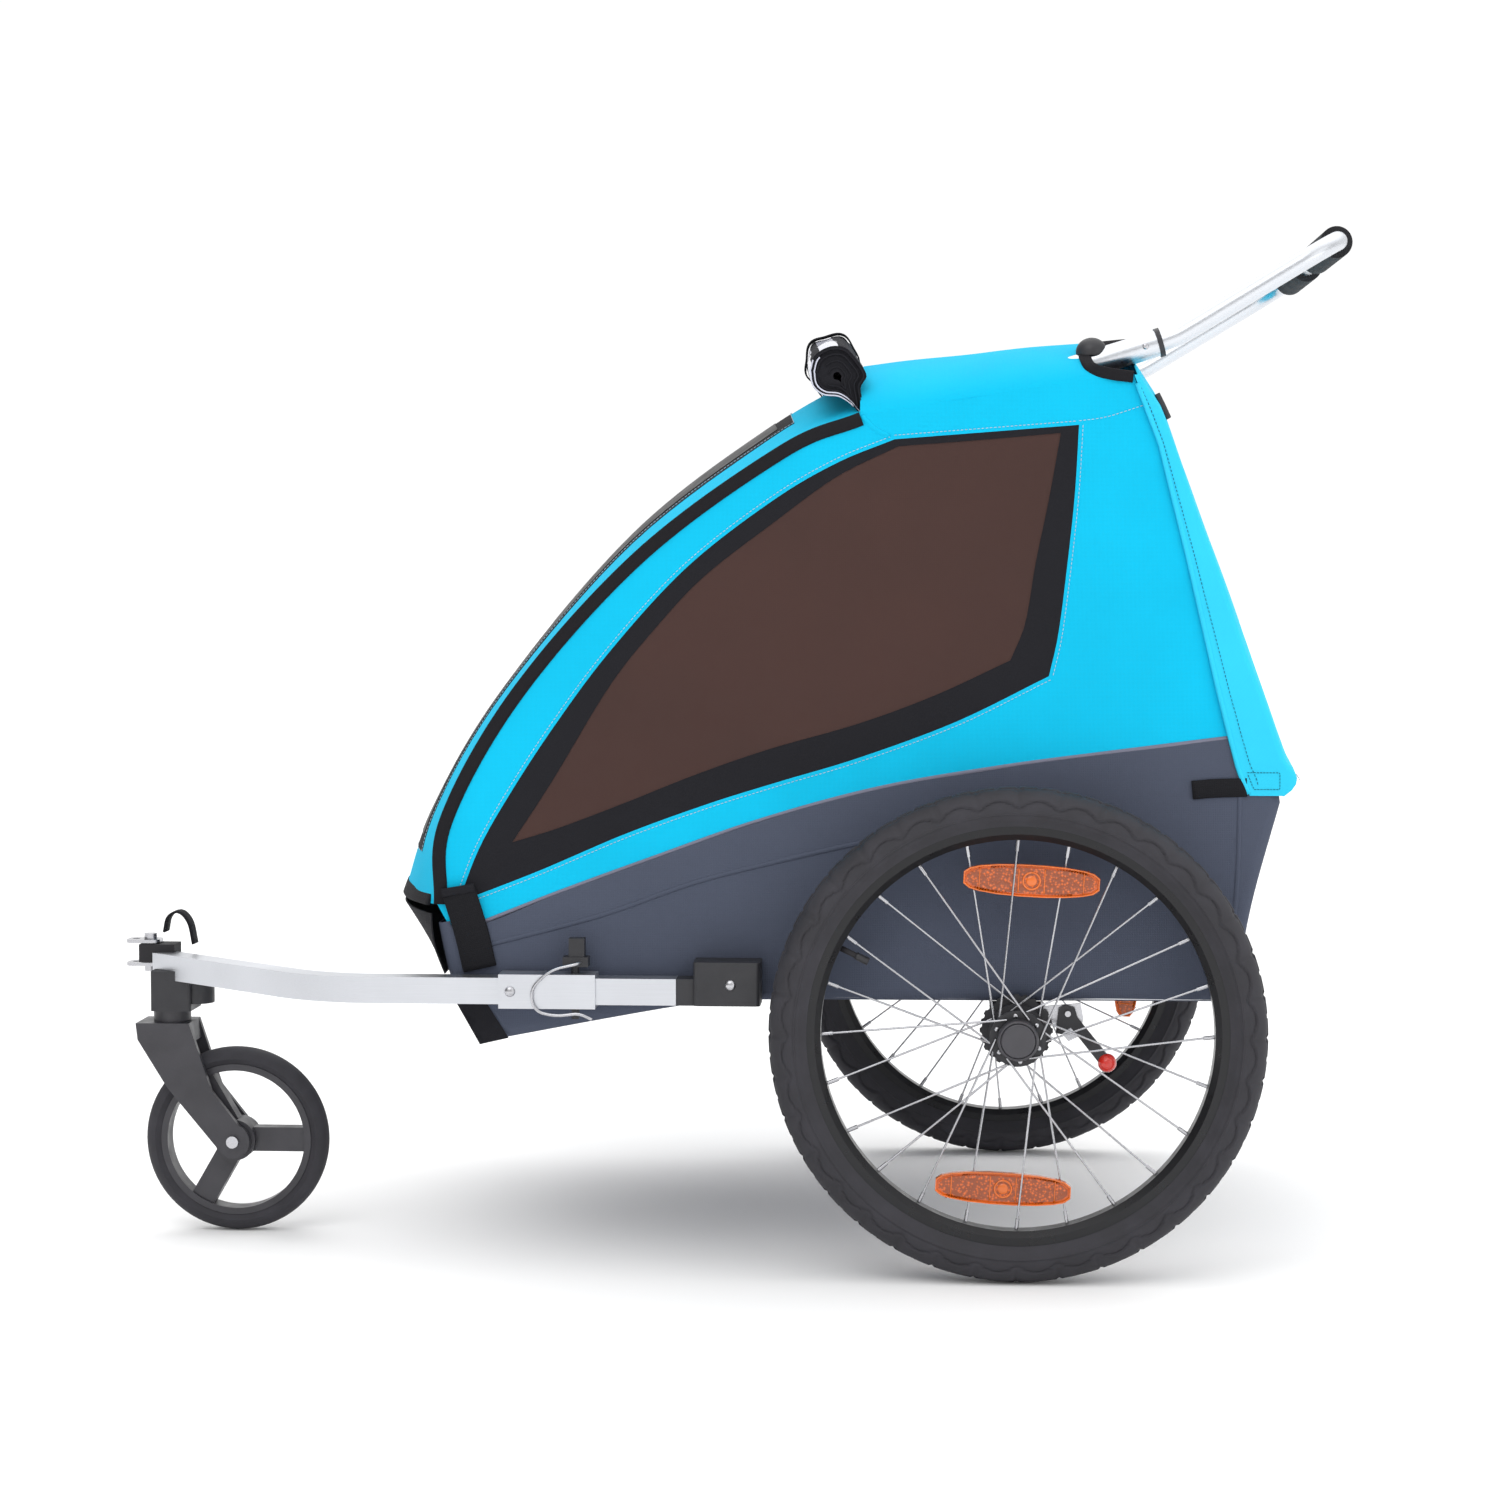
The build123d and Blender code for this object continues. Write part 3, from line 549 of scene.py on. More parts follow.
THREAD_DARK = fabric("thread_dark", srgb(30, 92, 116), thread=0.4, depth=0.2, wrinkle=0.0)
CLEAR_VINYL = plastic("clear_vinyl", srgb(196, 198, 214), rough=0.2, grain=80.0, depth=0.3, coat=0.8)
WINDOW_FILM = tinted_film("window_film", srgb(60, 34, 28))
MESH_CLOTH = tinted_film("screen_mesh", srgb(26, 25, 28))
TYRE = rubber("tyre_rubber", srgb(50, 49, 54))
FOAM = rubber("grip_foam", srgb(34, 34, 37), rough=0.85, grain=520.0, depth=0.5)
RUBBER_BLOCK = rubber("soft_rubber", srgb(36, 35, 38))
RIM_BLACK = metal("rim_black", srgb(26, 26, 29), rough=0.3, stretch=(4.0, 4.0, 4.0), metallic=0.3)
ALUMINIUM = metal("brushed_aluminium", srgb(205, 207, 212), rough=0.36)
TUBE_ALUMINIUM = metal("tube_aluminium", srgb(210, 213, 218), rough=0.3, stretch=(6.0, 60.0, 60.0))
STEEL = metal("plated_steel", srgb(186, 186, 190), rough=0.26, stretch=(12.0, 12.0, 12.0))
BLACK_PLASTIC = plastic("moulded_black", srgb(38, 38, 42))
FORK_PLASTIC = plastic("moulded_charcoal", srgb(52, 51, 56), rough=0.42)
CAP_PLASTIC = plastic("cap_charcoal", srgb(62, 61, 66), rough=0.4)
RED = plastic("knob_red", srgb(196, 40, 30), rough=0.25, grain=200.0, depth=0.03, coat=0.5)
# the amber prism plastic carries a painted glow and painted glints and shade
AMBER = reflector_plastic_with_painted_glow("amber_prisms", srgb(190, 84, 8))
AMBER_FRAME = plastic("amber_frame", srgb(222, 106, 16), rough=0.22, grain=150.0, depth=0.03, coat=0.6)

NODE_MATERIALS = {
    ALUMINIUM: ["tow_arm", "arm_sleeve", "side_rails"],
    TUBE_ALUMINIUM: ["cross_tubes", "seat_front_bar", "canopy_side_tubes", "canopy_bows", "handle_sleeves", "handlebar",
                     "back_side_tubes", "back_cross_bars"],
    STEEL: ["rear_hinge_posts", "hinge_pins", "axle_tube", "wheel_axles", "brake_plate", "hitch_plates", "hitch_bolt",
            "stroller_axle_bolt", "pin_bail", "left_spokes", "right_spokes"],
    BLACK_PLASTIC: ["axle_receivers", "arm_socket", "stroller_wheel_housing", "sleeve_collars", "latch_brackets",
                    "brake_lever", "arm_pin", "crotch_buckles", "left_hub", "right_hub"],
    CAP_PLASTIC: ["left_release_button", "right_release_button"],
    FORK_PLASTIC: ["stroller_fork", "stroller_rim"],
    RIM_BLACK: ["left_rim", "right_rim"],
    RUBBER_BLOCK: ["hitch_rubber_block"],
    TYRE: ["stroller_tyre"],
    FOAM: ["handlebar_grips"],
    RED: ["brake_knob"],
}
BEVELS = {"tow_arm": 2.2, "arm_sleeve": 1.2, "side_rails": 2.0, "arm_socket": 2.0, "stroller_wheel_housing": 2.5,
          "latch_brackets": 1.5, "brake_lever": 0.8, "arm_pin": 1.6, "hitch_plates": 0.6, "hitch_rubber_block": 2.0,
          "stroller_fork": 2.5, "stroller_rim": 1.5, "axle_receivers": 2.0, "brake_plate": 0.5, "crotch_buckles": 1.5}


def dress_cad_nodes():
    """Finishes for the CAD nodes that stay in view."""
    for material, names in NODE_MATERIALS.items():
        for name in names:
            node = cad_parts[name]
            node.data.materials.clear()
            node.data.materials.append(material)
    for name, width in BEVELS.items():
        bevel(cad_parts[name], width)


# ---- fabric shell ----
def roof_edge_z(x):
    """Height of the seam between the side and the roof at x."""
    (x0, z0), (x1, z1) = ROOF_EDGE
    return z0 + (z1 - z0) * (x - x0) / (x1 - x0)


def roof_crown_z(x):
    """Height of the roof's middle at x."""
    x0, x1 = ROOF_CROWN[0][0], ROOF_CROWN[-1][0]
    return along(ROOF_CROWN, (x - x0) / (x1 - x0))[1]


def ripple(x, z, size, seed):
    """Soft unevenness of stretched cloth, in millimetres."""
    return size * noise.noise(Vector((x * 0.011, z * 0.011, seed)))


def shell_y(x, z):
    """Outward distance of the side shell at x and z, which curves in over the roof's shoulder."""
    top = roof_edge_z(x)
    base = HALF_W - 1.5 + ripple(x, z, 1.2, 3.1)
    if z <= top or x < 140:
        return base
    crown = roof_crown_z(x)
    rise = min((z - top) / (crown - top), 0.985)
    return base * (1 - rise**ROOF_Q) ** (1 / ROOF_P)


def on_shell(points, lift=0.0, step=8.0, side=LEFT):
    """A smooth line on the side shell, as (path, normals)."""
    path, normals = [], []
    for p in spaced(points, step):
        y = shell_y(p[0], p[1])
        dy = (shell_y(p[0], p[1] + 2) - y) / 2
        dx = (shell_y(p[0] + 2, p[1]) - y) / 2
        normal = Vector((-dx, side, -dy)).normalized()
        path.append(point(p[0], side * y, p[1]) + normal * lift * MM)
        normals.append(normal)
    return path, normals


def loop_of(*lines, step=12.0):
    """One closed outline from smooth lines that meet at their ends."""
    found = []
    for line in lines:
        found += [tuple(p) for p in spaced(line, step)][:-1]
    return found


def shell_patch(name, boundary, material, lift=0.0, step=12.0, holes=()):
    """A piece of cloth lying on the left side shell, filling an outline in x and z."""
    flat, tris = region(boundary, step, holes)
    verts = [point(p[0], -shell_y(p[0], p[1]) - lift, p[1]) for p in flat]
    made = add_mesh(name, verts, tris, material, [(p[0] * MM, p[1] * MM) for p in flat])
    if made.data.polygons[0].normal.y > 0:
        made.data.flip_normals()
    return made


def bend_with_hoop(*objects):
    """Bakes each object's place in the scene into its mesh. The cloth between the tub and the folding hoop is not
    turned with the hoop here."""
    for o in objects:
        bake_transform(o)


def roof_point(x, a):
    """A point of the roof at x, where a turns from 0 at the left edge over the top to pi at the right."""
    low, high = roof_edge_z(x), roof_crown_z(x)
    base = HALF_W - 1.5 + ripple(x, low, 1.2, 3.1)
    y = -base * abs(cos(a)) ** (2 / ROOF_P) * (1 if cos(a) >= 0 else -1)
    z = low + (high - low) * max(sin(a), 0) ** (2 / ROOF_Q) + ripple(x, y, 2.0, 7.7) * sin(a)
    return point(x, y, z)


def opening_z(x):
    """Height of the lower edge of the handle openings at x."""
    line = OPENING[1:]
    for (x0, z0), (x1, z1) in zip(line, line[1:]):
        if x <= x1:
            return z0 + (z1 - z0) * (x - x0) / (x1 - x0)
    return line[-1][1]


def cut_openings(shell):
    """Cuts the notches that the handle sleeves come out of."""
    mesh = bmesh.new()
    mesh.from_mesh(shell.data)
    gone = []
    for face in mesh.faces:
        c = face.calc_center_median() / MM
        if c.x > OPENING[1][0] and abs(c.y) > OPENING_INBOARD and c.z > opening_z(c.x):
            gone.append(face)
    bmesh.ops.delete(mesh, geom=gone, context="FACES")
    mesh.to_mesh(shell.data)
    mesh.free()


def outward(obj):
    """Turns all faces outward from the trailer's middle."""
    mesh = bmesh.new()
    mesh.from_mesh(obj.data)
    bmesh.ops.recalc_face_normals(mesh, faces=mesh.faces)
    for face in mesh.faces:
        c = face.calc_center_median()
        if face.normal.dot(c - Vector((c.x * 0.6 + 0.08, 0, 0.55))) < 0:
            face.normal_flip()
    mesh.to_mesh(obj.data)
    mesh.free()


def make_shell():
    """Blue sides and roof in one skin, the tinted windows with their borders, and the seams."""
    window = loop_of(WINDOW_TOP, WINDOW_REAR, WINDOW_BOTTOM, WINDOW_FRONT)
    count, across = 46, 96
    xs = [ROOF_EDGE[0][0] + (ROOF_EDGE[1][0] - ROOF_EDGE[0][0]) * i / count for i in range(count + 1)]
    outline = [(x, roof_edge_z(x)) for x in xs[:-1]] + [ROOF_EDGE[1]]
    outline += loop_of(REAR_SEAM, TUB_TOP[::-1], FRONT_EDGE)[1:]
    side = shell_patch("left_side_cloth", outline, BLUE, holes=[window])
    other = mirrored(side, "right_side_cloth")
    rows = [[roof_point(x, pi * j / across) for j in range(across + 1)] for x in xs]
    roof = add_grid("roof_cloth", rows, BLUE)
    shell = join("canopy_shell", [side, other, roof])
    weld(shell, 1.2)
    cut_openings(shell)
    outward(shell)
    solidify(shell, 1.2)
    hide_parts("side_panels", "roof_panel")
    bend_with_hoop(shell)

    inner = loop_of(*FILM)
    for side_name, turn in (("left", LEFT), ("right", RIGHT)):
        border = shell_patch("border", window, BLACK_CLOTH, lift=-0.3, holes=[inner], step=10.0)
        film = shell_patch("film", inner, WINDOW_FILM, lift=-1.2, step=14.0)
        if turn == RIGHT:
            border, film = [swap(o) for o in (border, film)]
        border.name, film.name = f"{side_name}_window_border", f"{side_name}_window_film"
        solidify(border, 1.0)
        solidify(film, 0.8)
        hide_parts("side_windows")
        bend_with_hoop(border, film)
        seam_lines(side_name, turn)


def swap(obj):
    """Moves a piece to the other side."""
    made = mirrored(obj, "swapped")
    bpy.data.objects.remove(obj)
    return made


def weld(obj, gap):
    """Joins open edges that lie within gap millimetres of each other."""
    mesh = bmesh.new()
    mesh.from_mesh(obj.data)
    edge = [v for v in mesh.verts if v.is_boundary]
    bmesh.ops.remove_doubles(mesh, verts=edge, dist=gap * MM)
    mesh.to_mesh(obj.data)
    mesh.free()


def offset_line(points, distance, step=10.0):
    """A smooth line in x and z moved sideways, to the right of its direction."""
    line = spaced(points, step)
    moved = []
    for i, p in enumerate(line):
        a, b = line[max(i - 1, 0)], line[min(i + 1, len(line) - 1)]
        t = (b - a).normalized()
        moved.append((p[0] + t[1] * distance, p[1] - t[0] * distance))
    return moved


def seam_lines(side_name, turn):
    """Thread, piping and bindings of one side."""
    around = [offset_line(line, -4) for line in (WINDOW_TOP, WINDOW_REAR, WINDOW_BOTTOM, WINDOW_FRONT)]
    around.append([(370, 866), (398, 870), (436, 882)])
    sewn = []
    for line in around:
        path, normals = on_shell(line, lift=0.2, side=turn)
        sewn.append(stitches("thread", path, normals, THREAD))
    thread = join(f"{side_name}_window_thread", sewn)
    path, normals = on_shell([(x, z + 1) for x, z in TUB_TOP[1:]], side=turn)
    piping = sweep(f"{side_name}_seam_piping", path, PIPING, round_profile(2.2), normals)
    path, normals = on_shell(offset_line(FRONT_EDGE, 3.5), lift=-0.5, side=turn)
    binding = sweep(f"{side_name}_front_binding", path, BINDING, tape(14, 3.0), normals)
    path, normals = on_shell([(150, 871), (163, 858), (178, 850)], lift=-0.6, step=3.0, side=turn)
    fold = sweep(f"{side_name}_corner_fold", path, BLUE, [(-5, 0), (-2.5, 1.4), (0, 2.2), (2, 0.6), (4, 0)], normals)
    bend_with_hoop(thread, piping, binding, fold)


def cover_point(u, y, lift=0.0):
    """A point of the front cover: u runs from its foot to the roof and y across, in millimetres."""
    edge, crown = along(FRONT_EDGE, u), along(FRONT_CROWN, u)
    t = min(abs(y) / HALF_W, 1.0) ** 2.2
    p = crown.lerp(edge, t)
    if lift:
        a, b = along(FRONT_CROWN, max(u - 0.02, 0)), along(FRONT_CROWN, min(u + 0.02, 1))
        d = (b - a).normalized()
        p = p + Vector((-d[1], d[0])) * lift
    return point(p[0], y, p[1])


def cover_sheet(name, along_u, half_y, material, lift):
    """A sheet on the front cover, between two shares of its length and out to half_y on both sides."""
    down, across = 40, 48
    u0, u1 = along_u
    rows = []
    for i in range(down + 1):
        u = u0 + (u1 - u0) * i / down
        ys = [-half_y + 2 * half_y * j / across for j in range(across + 1)]
        rows.append([cover_point(u, y, lift + ripple(u * 500, y, 1.4, 11.3)) for y in ys])
    return add_grid(name, rows, material)


def cover_path(us_ys, lift):
    """A line on the front cover, as (path, normals)."""
    path, normals = [], []
    for u, y in us_ys:
        p = cover_point(u, y, lift)
        q = cover_point(u, y, lift + 5)
        path.append(p)
        normals.append((q - p).normalized())
    return path, normals


def make_front_cover():
    """Front cover: blue surround, and a large dark screen with a sewn border."""
    cover = cover_sheet("front_cover_cloth", (0.0, 1.0), HALF_W - 1, BLUE, 0.0)
    solidify(cover, 1.2)
    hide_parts("front_cover")
    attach(cover, "front_cover")
    border = cover_sheet("front_screen_border", SCREEN_U, SCREEN_Y, BLACK_CLOTH, 1.0)
    screen = cover_sheet("front_screen", (0.155, 0.81), 204, MESH_CLOTH, 1.7)
    for piece in (border, screen):
        solidify(piece, 0.7)
        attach(piece, "front_cover")
    low, high = SCREEN_U
    rim = [(low + 0.72 * i / 50, -SCREEN_Y) for i in range(51)]
    rim += [(high, -SCREEN_Y + 2 * SCREEN_Y * i / 30) for i in range(1, 31)]
    rim += [(high - 0.72 * i / 50, SCREEN_Y) for i in range(1, 51)]
    rim += [(low, SCREEN_Y - 2 * SCREEN_Y * i / 30) for i in range(1, 30)]
    path, normals = cover_path(rim, 2.2)
    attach(stitches("front_screen_thread", path, normals, THREAD), "front_cover")
    path, normals = cover_path([(0.012, -284 + 568 * i / 60) for i in range(61)], 0.5)
    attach(sweep("front_cover_hem", path, BINDING, tape(16, 2.4), normals), "front_cover")


def make_nose():
    """Dark panel under the front cover, between the tub's front and the foot bow."""
    rows = []
    for i in range(9):
        s = i / 8
        edge = Vector((-278, 300)).lerp(Vector((-291, 362)), s)
        crown = Vector((-288, 296)).lerp(Vector((-358, 359)), s)
        row = []
        for j in range(41):
            y = -HALF_W + 2 + (2 * HALF_W - 4) * j / 40
            p = crown.lerp(edge, (abs(y) / HALF_W) ** 2.2)
            row.append(point(p[0] - 4 * sin(pi * s), y, p[1]))
        rows.append(row)
    nose = add_grid("nose_cloth", rows, BLACK_CLOTH)
    solidify(nose, 1.5, 0.0)
    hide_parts("nose_panel")
    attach(nose, "chassis")


def tub_side(x, z):
    """Outward distance of the tub's side, slightly full below its seam."""
    low = 1 - min(max((z - 276) / 40, 0), 1)
    return HALF_W + 0.6 + ripple(x, z, 1.6, 19.0) + 2.0 * sin(pi * min(max((z - 250) / 260, 0), 1)) * (1 - low)


def make_tub():
    """Grey tub with rounded lower edges, its side crease, corner patches and straps."""
    outer = []
    for line in TUB_PATH:
        outer += spaced(line, 12.0)[:-1]
    outer.append(Vector(TUB_PATH[-1][-1]))
    inset = []
    for i, p in enumerate(outer):
        a, b = outer[max(i - 2, 0)], outer[min(i + 2, len(outer) - 1)]
        t = (b - a).normalized()
        inset.append(p + Vector((-t[1], t[0])) * TUB_EDGE_R)
    rows = []
    for p, q in zip(outer, inset):
        row = []
        for side in (LEFT, RIGHT):
            arc = []
            for k in range(7):
                a = pi / 2 * k / 6
                spot = q.lerp(p, sin(a))
                y = tub_side(spot[0], spot[1]) - TUB_EDGE_R * (1 - cos(a))
                arc.append(point(spot[0], side * y, spot[1]))
            row += arc if side == LEFT else [point(p[0], y, p[1]) for y in range(-240, 241, 40)] + arc[::-1]
        rows.append(row)
    strip = add_grid("tub_strip", rows, TUB_GREY)
    top = [tuple(p) for p in spaced([(562, 549), *TUB_TOP[::-1]], 12.0)]
    boundary = [tuple(p) for p in inset] + top[1:-1]
    flat, tris = region(boundary, 13.0)
    sides = []
    for side in (LEFT, RIGHT):
        verts = [point(p[0], side * tub_side(p[0], p[1]), p[1]) for p in flat]
        sides.append(add_mesh("tub_side", verts, tris, TUB_GREY, [(p[0] * MM, p[1] * MM) for p in flat]))
    tub = join("tub_cloth", [strip, *sides])
    weld(tub, 1.5)
    mesh = bmesh.new()
    mesh.from_mesh(tub.data)
    bmesh.ops.recalc_face_normals(mesh, faces=mesh.faces)
    mesh.to_mesh(tub.data)
    mesh.free()
    solidify(tub, 1.6)
    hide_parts("lower_tub")
    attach(tub, "chassis")

    seams, webbing = [], []
    for side in (LEFT, RIGHT):
        def on_tub(points, lift=0.0, step=8.0):
            line = spaced(points, step)
            return ([point(p[0], side * (tub_side(p[0], p[1]) + lift), p[1]) for p in line],
                    [Vector((0, side, 0)) for _ in line])
        path, normals = on_tub([(-230, 331), (-118, 361), (-16, 397), (86, 423), (190, 446)])
        profile = [(-3, -0.5), (-2, 0.9), (0, 1.7), (1.5, 0.9), (3, -0.5)]
        seams.append(sweep("crease", path, TUB_GREY, profile, normals))
        path, normals = on_tub([(532, 545), (534, 480), (532, 400), (526, 330), (522, 288)])
        profile = [(-3, -0.5), (-2, 0.8), (0, 1.5), (2, 0.8), (3, -0.5)]
        seams.append(sweep("seam", path, TUB_GREY, profile, normals))
        path, normals = on_tub([(486, 493), (510, 495), (541, 496)], 0.8, 4.0)
        webbing.append(sweep("webbing", path, WEBBING, tape(19, 2.0), normals))
        path, normals = on_tub([(-241, 306), (-250, 345), (-262, 384)], 1.2, 5.0)
        webbing.append(sweep("webbing", path, WEBBING, tape(35, 3.0), normals))
        path, normals = on_tub([(-280, 384), (-262, 387), (-246, 390)], 2.4, 3.0)
        webbing.append(sweep("webbing", path, BLACK_CLOTH, tape(9, 2.6), normals))
        corners = [(-266, 270), (-234, 269), (-212, 234), (-242, 227), (-266, 270)]
        flat, tris = region(loop_of(*zip(corners, corners[1:]), step=8.0), 9.0)
        verts = [point(p[0], side * (tub_side(p[0], p[1]) + 1.0), p[1]) for p in flat]
        patch = add_mesh("patch", verts, tris, BLACK_CLOTH, [(p[0] * MM, p[1] * MM) for p in flat])
        webbing.append(solidify(patch, 1.0, 0.0))
    creases = join("tub_seams", seams)
    straps = join("corner_webbing", webbing)
    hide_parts("corner_straps")
    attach(creases, "chassis")
    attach(straps, "chassis")


def line_at(line, z):
    """x of a falling line at height z."""
    for a, b in zip(line, line[1:]):
        if z >= b[1]:
            f = (a[1] - z) / max(a[1] - b[1], 1e-6)
            return a[0] + (b[0] - a[0]) * min(max(f, 0), 1)
    return line[-1][0]


def flap_point(h, s):
    """A point of the rear flap. h runs from 0 at the top to 1 at the hem; s from 0 at the left front edge,
    over the corner at FLAP_CORNER, to 0.5 in the middle, and on to 1 at the right front edge."""
    side = LEFT if s < 0.5 else RIGHT
    s = s if s < 0.5 else 1 - s
    z = 912 - 424.5 * h
    high = 955 - 468.5 * h
    width = HALF_W + 1.5
    front, rear = (line_at(FLAP_SEAM, z), z), (line_at(FLAP_EDGE, z), z)
    if s < FLAP_CORNER:
        p, y = Vector(front).lerp(Vector(rear), s / FLAP_CORNER), width
    else:
        y = width * (1 - (s - FLAP_CORNER) / (0.5 - FLAP_CORNER))
        p = Vector((line_at(FLAP_CROWN, high), high)).lerp(Vector(rear), (y / width) ** 2.4)
    return point(p[0], side * y, p[1])


def soften(rows, times=2):
    """Rounds the corners of rows of points, keeping each row's ends."""
    for _ in range(times):
        rows = [[row[0], *[(a + 2 * b + c) / 4 for a, b, c in zip(row, row[1:], row[2:])], row[-1]] for row in rows]
    return rows


def make_rear_flap():
    """Rear flap that wraps round both corners, with a raised front edge, a hem and its buckles."""
    steps = [0, 0.015, 0.03, 0.045, 0.06, 0.075, 0.09, 0.1, 0.108, 0.115, 0.12, 0.126, 0.134, 0.145, 0.165, 0.2,
             0.25, 0.3, 0.36, 0.43]
    across = steps + [0.5] + [1 - s for s in steps[::-1]]
    rows = [[flap_point(i / 72, s) for s in across] for i in range(73)]
    for row in rows:
        for p in row[9:-9]:
            p.x += ripple(p.z * 1000, p.y * 1000, 2.0, 23.0) * MM
    rows = soften(rows)
    flap = add_grid("rear_flap_cloth", rows, LIGHT_BLUE)
    solidify(flap, 1.6, 0.0)
    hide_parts("rear_flap")
    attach(flap, "rear_flap")

    edges = []
    for s, side in ((0.0, LEFT), (1.0, RIGHT)):
        out = Vector((0, side, 0))
        path = [flap_point(0.02 + 0.975 * i / 60, s) for i in range(61)]
        profile = [(-3, 0), (-2.2, 1.6), (0, 2.2), (2.2, 1.6), (3, 0)]
        edges.append(sweep("edge", path, LIGHT_BLUE, profile, [out] * 61))
        inner = [flap_point(0.03 + 0.95 * i / 60, s + (0.03 if s == 0 else -0.03)) + out * 0.0012 for i in range(61)]
        edges.append(stitches("thread", inner, [out] * 61, THREAD_DARK))
        box = [(541, 511), (574, 511), (574, 494), (548, 494), (541, 511)]
        fine = [p for a, b in zip(box, box[1:]) for p in (a, ((a[0] + b[0]) / 2, (a[1] + b[1]) / 2))] + [box[-1]]
        path = [point(x, side * (HALF_W + 2.4), z) for x, z in fine]
        edges.append(stitches("thread", path, [out] * len(fine), THREAD_DARK, pitch=3.2, stitch=2.4))
    hem = [flap_point(0.965, 0.14 + 0.72 * i / 60) + point(2, 0, 0) for i in range(61)]
    edges.append(stitches("thread", hem, [Vector((1, 0, 0.3))] * 61, THREAD_DARK))
    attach(join("rear_flap_edges", edges), "rear_flap")
    for name, side in (("left", LEFT), ("right", RIGHT)):
        path = [point(447, side * 268, 893), point(453, side * 268, 881), point(459, side * 268, 868)]
        buckle = sweep(f"{name}_flap_buckle", path, BLACK_PLASTIC, tape(24, 5.5), [Vector((0.9, 0, 0.42))] * 3)
        bevel(buckle, 0.8)
        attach(buckle, "rear_flap")


def make_handle_opening():
    """Binding round the notches in the shell that the handle sleeves come out of."""
    for name, side in (("left", LEFT), ("right", RIGHT)):
        path, normals = [], []
        inboard = (OPENING_INBOARD / HALF_W) ** ROOF_P
        for x in (424, 412, 400, 388, 380):
            low, high = roof_edge_z(x), roof_crown_z(x)
            path.append(point(x, side * OPENING_INBOARD, low + (high - low) * (1 - inboard) ** (1 / ROOF_Q) + 0.8))
            normals.append(Vector((0, side * 0.5, 0.86)))
        for x, z in OPENING:
            y = shell_y(x, min(z, roof_crown_z(x) - 2)) + 0.8
            path.append(point(x, side * max(y, 240), z))
            normals.append(Vector((0, side, 0.25 if z > 925 else 0.05)))
        fine = curve([tuple(p) for p in path], 60)
        spread = [Vector(along([tuple(n) for n in normals], i / 59)).normalized() for i in range(60)]
        bound = sweep(f"{name}_sleeve_opening", fine, BINDING, tape(12, 2.6), spread)
        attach(bound, "canopy_frame")
        boot = []
        for i in range(9):
            s = i / 8
            boot.append([point(374 + 50 * s, side * (240 + 52 * (j / 8)), 905 + 4 * s) for j in range(9)])
        floor = add_grid(f"{name}_sleeve_gusset", boot, BLACK_CLOTH)
        solidify(floor, 1.0, 0.0)
        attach(floor, "canopy_frame")


def roll_centre(y):
    """(x, z) of the roll's middle at y: it bows up over the cover between its ends."""
    rise = 1 - (y / 282) ** 2
    return ROLL_END[0] + ROLL_RISE[0] * rise, ROLL_END[1] + ROLL_RISE[1] * rise


def away(loop):
    """The directions from a loop's middle to its points."""
    middle = sum(loop, Vector()) / len(loop)
    return [(p - middle).normalized() for p in loop]


def roll_ring(y, scale=1.0):
    """The rolled cover's outline at y: round in the middle, and drawn out to a tail at both ends."""
    share = min(max((abs(y) - 190) / 80, 0), 1)
    share = share * share * (3 - 2 * share)
    cx, cz = roll_centre(y)
    closed = ROLL_SECTION + ROLL_SECTION[:1]
    found = []
    for j in range(ROLL_COUNT):
        t = j / ROLL_COUNT
        tail = along(closed, t)
        a = pi - tau * t - 0.1
        uneven = 2.2 * noise.noise(Vector((y * 0.016, cos(a) * 1.4, sin(a) * 1.4))) + 0.9 * sin(5 * a + y * 0.03)
        r = ROLL_R + uneven
        x = cx + scale * (tail[0] * share + r * cos(a) * (1 - share))
        z = cz + scale * (tail[1] * share + r * sin(a) * (1 - share))
        found.append(point(x, y, z))
    return found


def make_rolled_cover():
    """Rain cover rolled up over the front bow: clear film and black cloth, wound together."""
    ys = [-ROLL_HALF + 2 * ROLL_HALF * i / 90 for i in range(91)]
    roll = add_grid("rolled_cloth", [roll_ring(y) for y in ys], BLACK_CLOTH, close=True)
    roll.data.materials.append(CLEAR_VINYL)
    for face in roll.data.polygons:
        c = face.center / MM
        x, z = roll_centre(c.y)
        a = atan2(c.z - z, c.x - x)
        if radians(88) < a < radians(128) or a > radians(150) or a < radians(-172):
            face.material_index = 1
    pieces = [roll]
    for side in (LEFT, RIGHT):
        caps = [roll_ring(side * (ROLL_HALF + 2.5 * (1 - s * s)), s) for s in (1.0, 0.9, 0.7, 0.45, 0.15)]
        pieces.append(add_grid("end", caps, BLACK_CLOTH, close=True))
        for scale, material, first, last in (
            (0.97, CLEAR_VINYL, 38, 60), (0.9, BLACK_CLOTH, 0, 55), (0.83, CLEAR_VINYL, 34, 62),
            (0.72, BLACK_CLOTH, 0, 55), (0.5, BLACK_CLOTH, 4, 50), (0.3, BLACK_CLOTH, 0, 40),
        ):
            loop = roll_ring(side * ROLL_HALF, scale)
            picked = [k % ROLL_COUNT for k in range(first, last)]
            out = away(loop)
            profile = [(-3.5, -0.7), (-3.5, 0.7), (3.5, 0.7), (3.5, -0.7)]
            pieces.append(sweep("layer", [loop[k] for k in picked], material, profile, [out[k] for k in picked]))
    whole = join("rolled_rain_cover_cloth", pieces)
    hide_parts("rolled_rain_cover")
    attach(whole, "front_cover")
    for name, y in (("left", -150), ("right", 150)):
        loop = roll_ring(y, 1.07)
        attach(sweep(f"{name}_roll_strap", loop, WEBBING, tape(20, 1.6), away(loop), close=True), "front_cover")


